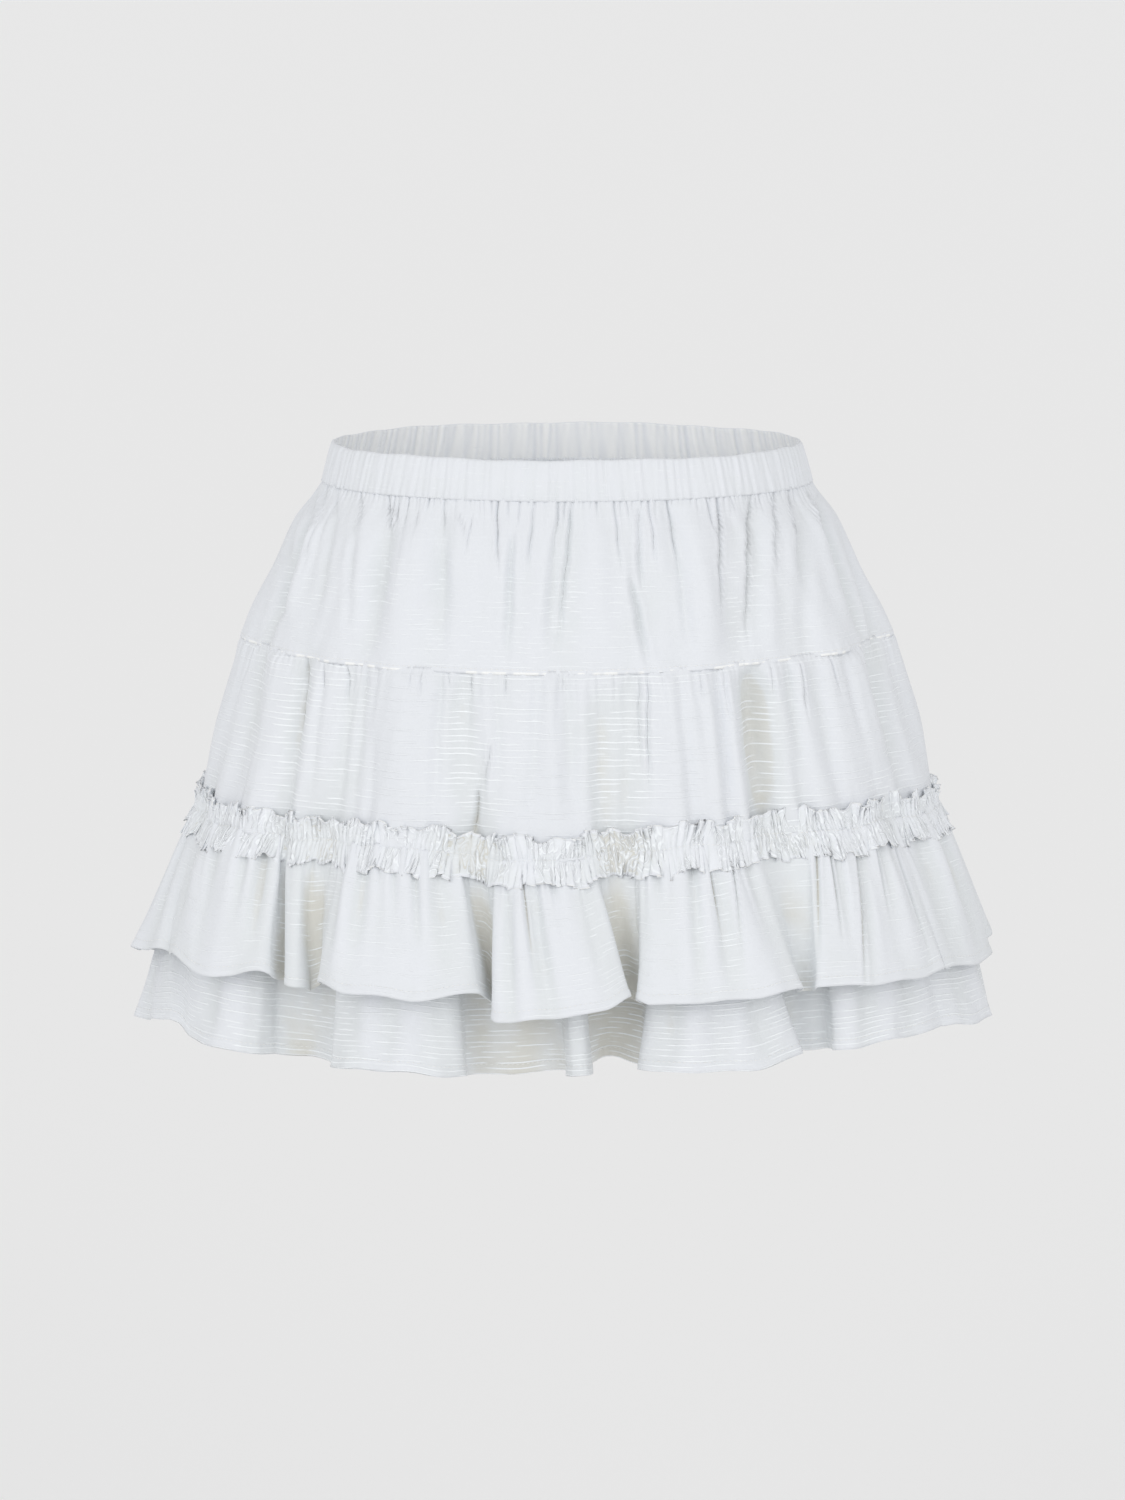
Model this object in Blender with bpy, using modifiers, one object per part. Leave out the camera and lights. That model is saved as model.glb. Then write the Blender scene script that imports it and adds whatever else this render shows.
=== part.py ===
"""Tiered ruffle skirt, filled out as if worn, with nobody in it.

An elastic waistband, a gathered yoke, a middle tier, a ruffled trim over the
tier's lower seam, and two flounces that hang one inside the other from it.
The origin is the middle of the waistband: +Z is up, the front faces -Y and
+X is to the right of someone who looks at the front.

Every piece is an open cloth surface, worked out from rings, folds and flutes,
with Solidify for its wall. An angle goes round the skirt in degrees: 0 is the
middle of the front, 90 the side seam at +X and 180 the middle of the back.
"""

from collections import namedtuple

import bmesh
import bpy
import numpy as np

MM = 0.001

# Walls and seams, in millimetres.
CLOTH_WALL = 1.2
BAND_WALL = 2.4
TRIM_WALL = 1.0
SEAM_GAP = 0.3
FLOUNCE_SEAM_GAP = 0.6

# Heights, in millimetres from the middle of the waistband.
BAND_TOP = 12.0
BAND_FOOT = -12.0

# The yoke starts this far under the band, whose foot dips at each gather.
BAND_SEAM_DROP = 0.75

# Cut lengths from the seam to the hem, along the cloth.
UPPER_FLOUNCE_LENGTH = 94.0
LOWER_FLOUNCE_LENGTH = 133.0
LEAST_DROP_SHARE = 0.75

# How finely each piece is built.
BAND_GATHERS = 64
TRIM_WAVES = 80
COLUMNS_PER_WAVE = 3
PANEL_COLUMNS = 52
COLUMNS_PER_FLUTE = 14
FINE_STEPS_PER_FLUTE = 60
YOKE_ROWS = (0.0, 0.13, 0.32, 0.54, 0.77, 1.0)
TIER_ROWS = (0.0, 0.25, 0.5, 0.75, 1.0)
BAND_ROWS = (0.0, 0.5, 1.0)
FLOUNCE_ROWS = (0.0, 0.34, 0.67, 1.0)

# The skirt's own oval at each height: the cloth between its folds.
Ring = namedtuple("Ring", "height half_width half_depth")
BODY_RINGS = (
    Ring(12, 140.5, 97.0),
    Ring(-12, 147.5, 101.5),
    Ring(-35, 164.0, 112.0),
    Ring(-59, 175.0, 120.0),
    Ring(-84, 186.0, 127.5),
    Ring(-108, 195.0, 133.5),
    Ring(-133, 203.5, 138.5),
    Ring(-157, 211.0, 143.0),
    Ring(-182, 218.0, 146.5),
    Ring(-211, 225.0, 149.5),
    Ring(-235, 229.0, 153.5),
)
SEAM_RING = Ring(-211, 225.0, 149.5)
HEM_RING = Ring(-300, 241.0, 165.0)

# Where the two cross seams run: they rise and dip a little on the way round.
Dip = namedtuple("Dip", "angle height")
YOKE_SEAM = (
    Dip(-90, -104), Dip(-40, -108), Dip(0, -109), Dip(40, -106),
    Dip(90, -103), Dip(140, -107), Dip(180, -105), Dip(225, -108), Dip(270, -104),
)
FLOUNCE_SEAM = (
    Dip(-90, -211), Dip(-60, -211), Dip(-42, -213), Dip(-27, -210), Dip(-14, -216),
    Dip(-4, -217), Dip(7, -212), Dip(20, -210), Dip(34, -206), Dip(60, -206),
    Dip(90, -209), Dip(120, -212), Dip(150, -208), Dip(180, -214), Dip(215, -209),
    Dip(245, -213), Dip(270, -211),
)

# The large folds of yoke and tier. Each runs from its top to its foot, and
# stands out of the oval (a ridge) or into it (a trough, below nought).
Fold = namedtuple("Fold", "top foot top_angle foot_angle half_angle out")
FOLDS = (
    # Front.
    Fold(-8, -100, -92, -60, 5, -3.5),
    Fold(-50, -225, -84, -80, 9, 4.0),
    Fold(-8, -80, -47, -37, 5, -3.0),
    Fold(-95, -180, -53, -50, 5, -3.5),
    Fold(-20, -205, -36, -26, 8, 4.0),
    Fold(-8, -85, -30, -23, 4.5, -3.0),
    Fold(-110, -195, -19, -17, 4, -2.5),
    Fold(-40, -110, -11, -11, 4.5, -2.5),
    Fold(-8, -105, 1, -2, 4.5, -3.0),
    Fold(-112, -225, 6, 7, 8, -4.0),
    Fold(-28, -105, 16, 14, 4.5, -4.0),
    Fold(-8, -62, 24, 22, 4, -2.5),
    Fold(-95, -225, 20, 22, 8, 5.0),
    Fold(-8, -120, 32, 23, 5, 3.0),
    Fold(-8, -105, 48, 33, 5, -4.5),
    Fold(-105, -215, 35, 33, 7, -8.0),
    Fold(-8, -70, 66, 51, 5.5, -3.0),
    Fold(-60, -200, 56, 52, 9, 3.0),
    Fold(-12, -150, 86, 67, 4.5, -3.5),
    Fold(-60, -225, 86, 82, 9, 4.0),
    # Back.
    Fold(-8, -110, 106, 112, 6, -3.5),
    Fold(-100, -205, 116, 114, 7, -5.0),
    Fold(-20, -190, 126, 126, 9, 4.0),
    Fold(-8, -90, 138, 134, 5, -3.5),
    Fold(-95, -210, 139, 138, 7, -5.5),
    Fold(-8, -120, 151, 154, 6, -3.0),
    Fold(-40, -200, 165, 168, 9, 4.0),
    Fold(-8, -95, 177, 176, 5, -3.5),
    Fold(-100, -210, 183, 183, 6, -5.0),
    Fold(-8, -100, 198, 203, 5.5, -3.5),
    Fold(-60, -205, 216, 214, 9, 4.5),
    Fold(-8, -85, 226, 222, 5, -3.0),
    Fold(-100, -210, 230, 230, 7, -5.5),
    Fold(-8, -120, 246, 247, 6, -3.5),
    Fold(-60, -200, 257, 257, 8, 3.5),
)

# The flounces' flutes. A lobe spans its two angles at the seam and at the hem.
# The crest is how far it stands out of the hem's oval, the valley how far the
# cloth between it and the next lobe does.
Flute = namedtuple("Flute", "top_left top_right hem_left hem_right crest valley")
SIDE_VALLEY = {"upper": -4.0, "lower": -12.0}
UPPER_FLUTES = {
    "front": (
        Flute(-87, -80, -86.5, -68, 27, -4),
        Flute(-75, -50, -63.5, -43.8, 26, -9),
        Flute(-46.2, -41.8, -40.4, -37.2, 9, -9),
        Flute(-36, -17, -35.4, -11.6, 27, -9),
        Flute(-10.6, 2.7, -9.4, 8.0, 29, -14),
        Flute(13.1, 25.9, 9.6, 31.0, 27, -6),
        Flute(39.7, 58, 33.8, 57.5, 26, 12),
        Flute(61, 84, 60.5, 86, 21, SIDE_VALLEY["upper"]),
    ),
    "back": (
        Flute(96, 112, 93.5, 113, 25, -7),
        Flute(119, 133, 116, 137, 27, -9),
        Flute(140, 152, 140.5, 158, 25, -10),
        Flute(160, 176, 161.5, 182.5, 27, -7),
        Flute(184, 200, 186, 205, 26, -10),
        Flute(207, 222, 208.5, 229, 27, -8),
        Flute(230, 243, 232, 247, 25, -7),
        Flute(249, 263, 250.5, 266.5, 25, SIDE_VALLEY["upper"]),
    ),
}
LOWER_FLUTES = {
    "front": (
        Flute(-85.5, -82, -84.5, -66, 23, -10),
        Flute(-66, -52, -58.0, -46.0, 20, -20),
        Flute(-33.5, -18.5, -33.5, -15.0, 19, -13),
        Flute(-8.5, 1.5, -9.5, 3.5, -3, -25),
        Flute(15.0, 24.5, 11.0, 30.0, 19, -19),
        Flute(42.0, 56, 40.5, 57, 19, 4),
        Flute(63, 82.5, 62.5, 84.5, 21, SIDE_VALLEY["lower"]),
    ),
    "back": (
        Flute(98, 110, 96, 110.5, 19, -17),
        Flute(121, 131, 118.5, 134.5, 19, -19),
        Flute(142, 150.5, 143, 155.5, 18, -20),
        Flute(162, 174, 164, 180, 19, -17),
        Flute(186, 198, 188.5, 202.5, 18, -20),
        Flute(209, 220, 211, 226.5, 19, -18),
        Flute(232, 241.5, 234.5, 244.5, 18, -17),
        Flute(251, 261.5, 253, 264.5, 19, SIDE_VALLEY["lower"]),
    ),
}
PANEL_ENDS = {"front": (-90.0, 90.0), "back": (90.0, 270.0)}

# A flute's outline, from the share of its depth at which its wall tucks in
# behind the lobe, past its widest point, to the shoulder of its crest.
TUCK_ANGLE = 1.2
TUCK_DEPTH = 0.26
EDGE_DEPTH = 0.66
SHOULDER_DEPTH = 0.95
SHOULDER_SHARE = 0.2
TOP_WALL_SHARE = 0.35
FLAT_AT_SIDE_SEAM = 1.0

# A flounce leaves its seam faster than a straight line would.
FLARE_POWER = 0.82

# How much of the seam's rise and dip each hem follows, and where the lower
# hem hangs higher than that by itself.
HEM_FOLLOWS_SEAM = {"upper": 0.8, "lower": 0.6}
LOWER_HEM_LIFT = (
    Dip(-90, 1), Dip(-60, 2), Dip(-30, 0), Dip(-7, 0), Dip(3, 4), Dip(10, 3), Dip(26, 0),
    Dip(36, 4), Dip(52, 7), Dip(72, 4), Dip(90, 2), Dip(140, 0), Dip(180, 3), Dip(230, 0),
    Dip(270, 1),
)

# The seam under the trim swells over each lobe and sinks between two.
SEAM_SWELL = 3.6
FULL_SWELL_ANGLE = 12.0
SWELL_STARTS = -150.0
LOWER_STEP_IN = 2.6

# Waistband gathers and trim ruffles, in millimetres.
BAND_GATHER_DEPTH = 1.0
BAND_GATHER_SWAY = 0.3
BAND_EDGE_RISE = 0.4
TRIM_HALF_HEIGHT = 14.0
TRIM_CLEARANCE = 2.3
TRIM_FOOT_CLEARANCE = 0.6
TRIM_FLARE = 3.4
TRIM_FLARE_POWER = 1.5
TRIM_WAVE_DEPTH = 2.8
TRIM_FOOT_PHASE = 1.4
TRIM_ROWS = (1.0, 0.22, -0.22, -1.0)

WHITE_COTTON = (0.80, 0.82, 0.84, 1.0)
SHADED_COTTON = (0.74, 0.76, 0.78, 1.0)
CLOTH_ROUGHNESS = 0.85


def curve_through(x, knots, values):
    """A smooth curve through the values at rising knots, level past both ends.

    It never swings past its knots: it is level at each high and low one.
    """
    knots = np.asarray(knots, float)
    values = np.asarray(values, float)
    rises = np.diff(values) / np.diff(knots)
    before, after = rises[:-1], rises[1:]
    is_passing = before * after > 0
    inner = np.zeros(len(before))
    inner[is_passing] = 2 / (1 / before[is_passing] + 1 / after[is_passing])
    slopes = np.concatenate((rises[:1], inner, rises[-1:]))
    x = np.clip(x, knots[0], knots[-1])
    i = np.clip(np.searchsorted(knots, x) - 1, 0, len(knots) - 2)
    step = knots[i + 1] - knots[i]
    t = (x - knots[i]) / step
    return (
        (1 + 2 * t) * (1 - t) ** 2 * values[i]
        + t * (1 - t) ** 2 * step * slopes[i]
        + t**2 * (3 - 2 * t) * values[i + 1]
        + t**2 * (t - 1) * step * slopes[i + 1]
    )


def smooth_step(t):
    """0 below 0, 1 above 1, and a soft S between them."""
    t = np.clip(t, 0.0, 1.0)
    return t * t * (3 - 2 * t)


def ring_sizes(height):
    """The oval's half width and half depth at a height."""
    rings = BODY_RINGS[::-1]
    heights = [ring.height for ring in rings]
    half_width = curve_through(height, heights, [ring.half_width for ring in rings])
    half_depth = curve_through(height, heights, [ring.half_depth for ring in rings])
    return half_width, half_depth


def place(angle, out, half_width, half_depth, height):
    """Points in metres: on an oval at an angle, moved out square to it."""
    turn = np.radians(angle)
    across, along = np.sin(turn), -np.cos(turn)
    reach = np.hypot(half_depth * across, half_width * along)
    x = half_width * across + out * half_depth * across / reach
    y = half_depth * along + out * half_width * along / reach
    return np.stack(np.broadcast_arrays(x, y, height), axis=-1) * MM


def seam_height(angle, dips):
    """A cross seam's height at an angle."""
    turned = (np.asarray(angle) + 90.0) % 360.0 - 90.0
    return curve_through(turned, [dip.angle for dip in dips], [dip.height for dip in dips])


def seam_swell(angle):
    """How far the flounce seam stands out of its oval at an angle."""
    knots, values = [PANEL_ENDS["front"][0]], [-SEAM_SWELL]
    for side in ("front", "back"):
        flutes = UPPER_FLUTES[side]
        for flute, following in zip(flutes, flutes[1:] + (None,)):
            width = flute.top_right - flute.top_left
            next_left = following.top_left if following else PANEL_ENDS[side][1]
            valley_angle = (flute.top_right + next_left) / 2 if following else next_left
            knots += [flute.top_left + 0.3 * width, flute.top_right - 0.3 * width, valley_angle]
            rise = 2 * SEAM_SWELL * min(1.0, width / FULL_SWELL_ANGLE) - SEAM_SWELL
            values += [rise, rise, -SEAM_SWELL]
    turned = (np.asarray(angle) + 90.0) % 360.0 - 90.0
    spans = np.clip(np.searchsorted(knots, turned) - 1, 0, len(knots) - 2)
    knots, values = np.array(knots), np.array(values)
    share = smooth_step((turned - knots[spans]) / (knots[spans + 1] - knots[spans]))
    return values[spans] + share * (values[spans + 1] - values[spans])


def fold_relief(angle, height):
    """How far yoke and tier stand out of the oval, from the table of folds."""
    out = np.zeros(np.broadcast(angle, height).shape)
    for fold in FOLDS:
        down = (fold.top - height) / (fold.top - fold.foot)
        centre = fold.top_angle + np.clip(down, 0, 1) * (fold.foot_angle - fold.top_angle)
        aside = (angle - centre + 180.0) % 360.0 - 180.0
        across = np.cos(np.clip(aside / fold.half_angle, -1, 1) * np.pi / 2) ** 2
        out = out + fold.out * across * smooth_step(down / 0.25) * smooth_step((1 - down) / 0.3)
    return out


def body_point(angle, height):
    """Yoke and tier: the oval, its folds, and the swell of the flounce seam."""
    half_width, half_depth = ring_sizes(height)
    seam = seam_height(angle, FLOUNCE_SEAM)
    blend = smooth_step((SWELL_STARTS - height) / (SWELL_STARTS - seam))
    out = (1 - blend) * fold_relief(angle, height) + blend * seam_swell(angle)
    return place(angle, out, half_width, half_depth, height)


def inset_angles(side, columns, height, gap=SEAM_GAP):
    """Even angles over a panel, held half a gap back from both side seams."""
    start, end = PANEL_ENDS[side]
    inset = np.degrees(gap / 2 / ring_sizes(height)[1])
    share = np.linspace(0.0, 1.0, columns + 1)[:, None]
    return start + inset + share * (end - start - 2 * inset)


def yoke_point(side, columns, rows):
    """The yoke, from under the band to the yoke seam."""
    top = BAND_FOOT - BAND_SEAM_DROP
    rough_angles = inset_angles(side, columns, np.full(len(rows), top))
    foot = seam_height(rough_angles, YOKE_SEAM) + SEAM_GAP / 2
    heights = top + np.asarray(rows) * (foot - top)
    return body_point(inset_angles(side, columns, heights), heights)


def tier_point(side, columns, rows):
    """The middle tier, from the yoke seam to the flounce seam."""
    rough_angles = inset_angles(side, columns, np.full(len(rows), SEAM_RING.height))
    top = seam_height(rough_angles, YOKE_SEAM) - SEAM_GAP / 2
    foot = seam_height(rough_angles, FLOUNCE_SEAM) + FLOUNCE_SEAM_GAP / 2
    heights = top + np.asarray(rows) * (foot - top)
    return body_point(inset_angles(side, columns, heights), heights)


def band_point(columns, rows):
    """The waistband: small even gathers round the elastic."""
    angle = np.linspace(-180.0, 180.0, columns + 1)[:, None]
    height = BAND_TOP + np.asarray(rows) * (BAND_FOOT - BAND_TOP)
    half_width, half_depth = ring_sizes(height)
    depth = BAND_GATHER_DEPTH * (1 + BAND_GATHER_SWAY * np.sin(np.radians(5 * angle)))
    out = depth * np.cos(np.radians(BAND_GATHERS * angle))
    rise = BAND_EDGE_RISE * np.sin(np.radians(7 * angle)) * (1 - np.asarray(rows))
    return place(angle, out, half_width, half_depth, height + rise)


def mirror_ends(values, is_angle):
    """One more knot past each side seam, so that the cloth meets it squarely."""
    if is_angle:
        return [2 * values[0] - values[1], *values, 2 * values[-1] - values[-2]]
    return [values[1], *values, values[-2]]


def flute_knots(flutes, side, side_valley):
    """Angle at the seam, angle at the hem and distance out, knot by knot."""
    start, end = PANEL_ENDS[side]
    flat = FLAT_AT_SIDE_SEAM
    top, hem, out = [start, start + flat], [start, start + flat], [side_valley] * 2
    for number, flute in enumerate(flutes):
        is_last = number == len(flutes) - 1
        top_width = flute.top_right - flute.top_left
        hem_width = flute.hem_right - flute.hem_left
        tuck = min(TUCK_ANGLE, 0.22 * hem_width)
        left_gap = flute.top_left - top[-1]
        next_top = end - flat if is_last else (flute.top_right + flutes[number + 1].top_left) / 2
        next_hem = end - flat if is_last else (flute.hem_right + flutes[number + 1].hem_left) / 2
        right_gap = next_top - flute.top_right
        left_valley = out[-1]
        left_rise = flute.crest - left_valley
        right_rise = flute.crest - flute.valley
        top += [
            flute.top_left - TOP_WALL_SHARE * left_gap,
            flute.top_left,
            flute.top_left + SHOULDER_SHARE * top_width,
            flute.top_left + 0.5 * top_width,
            flute.top_right - SHOULDER_SHARE * top_width,
            flute.top_right,
            flute.top_right + TOP_WALL_SHARE * right_gap,
            next_top,
        ]
        hem += [
            flute.hem_left + tuck,
            flute.hem_left,
            flute.hem_left + SHOULDER_SHARE * hem_width,
            flute.hem_left + 0.5 * hem_width,
            flute.hem_right - SHOULDER_SHARE * hem_width,
            flute.hem_right,
            flute.hem_right - tuck,
            next_hem,
        ]
        out += [
            left_valley + TUCK_DEPTH * left_rise,
            left_valley + EDGE_DEPTH * left_rise,
            left_valley + SHOULDER_DEPTH * left_rise,
            flute.crest,
            flute.valley + SHOULDER_DEPTH * right_rise,
            flute.valley + EDGE_DEPTH * right_rise,
            flute.valley + TUCK_DEPTH * right_rise,
            flute.valley,
        ]
    top.append(end)
    hem.append(end)
    out.append(side_valley)
    return mirror_ends(top, True), mirror_ends(hem, True), mirror_ends(out, False)


def flounce_paths(layer, side, step):
    """The flounce's seam path and hem path, at even steps along its knots."""
    flutes = {"upper": UPPER_FLUTES, "lower": LOWER_FLUTES}[layer][side]
    top, hem, out = flute_knots(flutes, side, SIDE_VALLEY[layer])
    knots = np.arange(len(top))
    along = np.linspace(1, len(top) - 2, step * len(flutes) + 1)[:, None]
    top_angle = curve_through(along, knots, top)
    hem_angle = curve_through(along, knots, hem)
    return top_angle, hem_angle, curve_through(along, knots, out)


def flounce_point(layer, side, columns_per_flute, rows):
    """A flounce: lines of one cut length, from the seam to the fluted hem."""
    top_angle, hem_angle, hem_out = flounce_paths(layer, side, columns_per_flute)
    share = np.asarray(rows)[None, :]
    step_in = 0.0 if layer == "upper" else LOWER_STEP_IN
    length = UPPER_FLOUNCE_LENGTH if layer == "upper" else LOWER_FLOUNCE_LENGTH
    top_out = seam_swell(top_angle) - step_in
    top_height = seam_height(top_angle, FLOUNCE_SEAM) - FLOUNCE_SEAM_GAP / 2
    top_point = place(top_angle, top_out, SEAM_RING.half_width, SEAM_RING.half_depth, 0.0)
    hem_point = place(hem_angle, hem_out, HEM_RING.half_width, HEM_RING.half_depth, 0.0)
    sideways = np.linalg.norm(hem_point - top_point, axis=-1) / MM
    drop = np.sqrt(np.maximum(length**2 - sideways**2, (LEAST_DROP_SHARE * length) ** 2))
    drop += (HEM_FOLLOWS_SEAM[layer] - 1) * (SEAM_RING.height - top_height)
    if layer == "lower":
        drop -= seam_height(hem_angle, LOWER_HEM_LIFT)
    angle = top_angle + share * (hem_angle - top_angle)
    start, end = PANEL_ENDS[side]
    inset = np.degrees(SEAM_GAP / 2 / SEAM_RING.half_depth)
    middle = (start + end) / 2
    angle = middle + (angle - middle) * (1 - 2 * inset / (end - start))
    out = top_out + share**FLARE_POWER * (hem_out - top_out)
    half_width = SEAM_RING.half_width + share * (HEM_RING.half_width - SEAM_RING.half_width)
    half_depth = SEAM_RING.half_depth + share * (HEM_RING.half_depth - SEAM_RING.half_depth)
    return place(angle, out, half_width, half_depth, top_height - share * drop)


def flounce_out_at(angle, share):
    """How far out the upper flounce stands at an angle, a share of the way down."""
    angles, outs = [], []
    for side in ("front", "back"):
        top_angle, hem_angle, hem_out = flounce_paths("upper", side, FINE_STEPS_PER_FLUTE)
        swell = seam_swell(top_angle)
        angles.append((top_angle + share * (hem_angle - top_angle))[:-1, 0])
        outs.append((swell + share**FLARE_POWER * (hem_out - swell))[:-1, 0])
    turned = (angle + 90.0) % 360.0 - 90.0
    return np.interp(turned, np.concatenate(angles), np.concatenate(outs), period=360)


def trim_point(columns):
    """The trim: the cloth beneath it, moved out, gathered along its middle."""
    angle = np.linspace(-180.0, 180.0, columns + 1)
    seam = seam_height(angle, FLOUNCE_SEAM)
    lines = []
    for across in TRIM_ROWS:
        height = seam + across * TRIM_HALF_HEIGHT
        spread = abs(across) ** TRIM_FLARE_POWER
        phase = 0.0 if across > 0 else TRIM_FOOT_PHASE
        wave = np.cos(np.radians(TRIM_WAVES * angle) + phase)
        lift = TRIM_CLEARANCE + spread * (TRIM_FLARE + TRIM_WAVE_DEPTH * wave)
        if across > 0:
            half_width, half_depth = ring_sizes(height)
            blend = smooth_step((SWELL_STARTS - height) / (SWELL_STARTS - seam))
            under = (1 - blend) * fold_relief(angle, height) + blend * seam_swell(angle)
        else:
            share = -across * TRIM_HALF_HEIGHT / UPPER_FLOUNCE_LENGTH
            half_width = SEAM_RING.half_width + share * (HEM_RING.half_width - SEAM_RING.half_width)
            half_depth = SEAM_RING.half_depth + share * (HEM_RING.half_depth - SEAM_RING.half_depth)
            under = flounce_out_at(angle, share) + TRIM_FOOT_CLEARANCE
        lines.append(place(angle, under + lift, half_width, half_depth, height))
    return np.stack(lines, axis=1)


def cotton(name, color):
    """A plain white cotton finish."""
    material = bpy.data.materials.new(name)
    material.use_nodes = True
    surface = material.node_tree.nodes["Principled BSDF"]
    surface.inputs["Base Color"].default_value = color
    surface.inputs["Roughness"].default_value = CLOTH_ROUGHNESS
    surface.inputs["Metallic"].default_value = 0.0
    material.diffuse_color = color
    return material


def sew(name, points, wall, color, collection):
    """One piece: a grid laid on its points (columns by rows), given its wall."""
    columns, rows = points.shape[0] - 1, points.shape[1] - 1
    cloth = bmesh.new()
    bmesh.ops.create_grid(cloth, x_segments=columns, y_segments=rows, size=1.0)
    for vertex in cloth.verts:
        column = round((vertex.co.x + 1) / 2 * columns)
        row = round((1 - vertex.co.y) / 2 * rows)
        vertex.co = points[column, row]
    bmesh.ops.remove_doubles(cloth, verts=cloth.verts, dist=0.00001)
    mesh = bpy.data.meshes.new(name)
    cloth.to_mesh(mesh)
    cloth.free()
    mesh.shade_smooth()
    piece = bpy.data.objects.new(name, mesh)
    collection.objects.link(piece)
    mesh.materials.append(cotton(name + "_cotton", color))
    thickness = piece.modifiers.new("Wall", "SOLIDIFY")
    thickness.thickness = wall * MM
    thickness.offset = 0.0
    thickness.use_rim = True
    return piece


def main():
    """Clear the scene and sew every piece of the skirt."""
    for old in list(bpy.data.objects):
        bpy.data.objects.remove(old, do_unlink=True)
    skirt = bpy.data.collections.new("tiered_ruffle_skirt")
    bpy.context.scene.collection.children.link(skirt)

    band = band_point(BAND_GATHERS * COLUMNS_PER_WAVE, BAND_ROWS)
    sew("waistband", band, BAND_WALL, WHITE_COTTON, skirt)
    for side in ("front", "back"):
        yoke = yoke_point(side, PANEL_COLUMNS, YOKE_ROWS)
        sew("yoke_" + side, yoke, CLOTH_WALL, WHITE_COTTON, skirt)
        tier = tier_point(side, PANEL_COLUMNS, TIER_ROWS)
        sew("tier_" + side, tier, CLOTH_WALL, WHITE_COTTON, skirt)
        upper = flounce_point("upper", side, COLUMNS_PER_FLUTE, FLOUNCE_ROWS)
        sew("flounce_upper_" + side, upper, CLOTH_WALL, WHITE_COTTON, skirt)
        lower = flounce_point("lower", side, COLUMNS_PER_FLUTE, FLOUNCE_ROWS)
        sew("flounce_lower_" + side, lower, CLOTH_WALL, SHADED_COTTON, skirt)
    trim = trim_point(TRIM_WAVES * COLUMNS_PER_WAVE)
    sew("ruffle_trim", trim, TRIM_WALL, WHITE_COTTON, skirt)


main()
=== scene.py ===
"""Tiered ruffle skirt: its cotton cloth, seams and stitches, on a pale stage.

Every solid of the skirt is stood in for by a finer shell of the same form. An
angle goes round the skirt in degrees: 0 is the middle of the front, 90 the side
seam at +X and 180 the middle of the back. Lengths are in millimetres until
place() or shift() turns them into points in metres.
"""

from collections import namedtuple
from itertools import product

import bpy
import numpy as np
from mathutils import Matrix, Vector


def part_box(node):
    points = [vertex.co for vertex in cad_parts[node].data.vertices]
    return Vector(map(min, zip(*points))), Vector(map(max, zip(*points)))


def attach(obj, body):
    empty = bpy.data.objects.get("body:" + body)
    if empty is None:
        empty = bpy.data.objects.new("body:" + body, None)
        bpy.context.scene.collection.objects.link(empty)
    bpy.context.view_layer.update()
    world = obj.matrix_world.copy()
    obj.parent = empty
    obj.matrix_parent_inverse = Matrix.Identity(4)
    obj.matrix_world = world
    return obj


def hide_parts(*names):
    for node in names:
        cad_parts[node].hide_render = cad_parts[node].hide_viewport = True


bl_info = {
    "name": "Tiered Ruffle Skirt",
    "version": (1, 0, 0),
    "blender": (4, 5, 0),
    "location": "View3D > Sidebar > Skirt",
    "description": "Builds the cloth, stitches and stage of a white tiered ruffle skirt",
    "category": "Object",
}

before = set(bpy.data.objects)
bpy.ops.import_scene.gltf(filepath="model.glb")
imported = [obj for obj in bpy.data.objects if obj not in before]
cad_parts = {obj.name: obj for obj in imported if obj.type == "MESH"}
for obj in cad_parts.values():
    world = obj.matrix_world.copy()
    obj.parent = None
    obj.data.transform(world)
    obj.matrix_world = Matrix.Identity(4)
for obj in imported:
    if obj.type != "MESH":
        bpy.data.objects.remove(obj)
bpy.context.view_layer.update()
BODY = "root"
MM = 0.001
SIDES = ("front", "back")
LAYERS = ("upper", "lower")

# The band: the heights of its top and foot, half its wall, the room left under
# its top, its ribs all round, and how far above its foot it is stitched.
BAND_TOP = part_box("waistband")[1].z / MM
BAND_FOOT = -12.0
BAND_HALF_WALL = 1.2
BAND_EDGE_ROOM = 0.6
BAND_RIBS = 64
BAND_STITCHES_UP = 1.9

# How far the panels reach past their seams: up behind the piece that they hang
# from, and down over or behind the next one.
YOKE_TUCK = 1.6
YOKE_LAP = 0.9
TIER_TUCK = 1.5

# The heights at which a panel's own width is measured.
YOKE_CUT_HEIGHT = -106.0
TIER_CUT_HEIGHT = -211.0

# Cut lengths from the seam to the hem, along the cloth, and the least share of
# them by which a hem hangs below its seam.
FLOUNCE_LENGTH = {"upper": 94.0, "lower": 133.0}
LEAST_DROP_SHARE = 0.75


def table(kind, *rows):
    """A table given row by row: one named row of that kind for each tuple."""
    return tuple(kind(*row) for row in rows)


# The skirt's own oval at each height: the cloth between its folds.
Ring = namedtuple("Ring", "height half_width half_depth")
BODY_RINGS = table(
    Ring,
    (12, 140.5, 97.0), (-12, 147.5, 101.5), (-35, 164.0, 112.0), (-59, 175.0, 120.0),
    (-84, 186.0, 127.5), (-108, 195.0, 133.5), (-133, 203.5, 138.5), (-157, 211.0, 143.0),
    (-182, 218.0, 146.5), (-211, 225.0, 149.5), (-235, 229.0, 153.5),
)
SEAM_RING = Ring(-211, 225.0, 149.5)
HEM_RING = Ring(-300, 241.0, 165.0)
PANEL_ENDS = {"front": (-90.0, 90.0), "back": (90.0, 270.0)}

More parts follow.
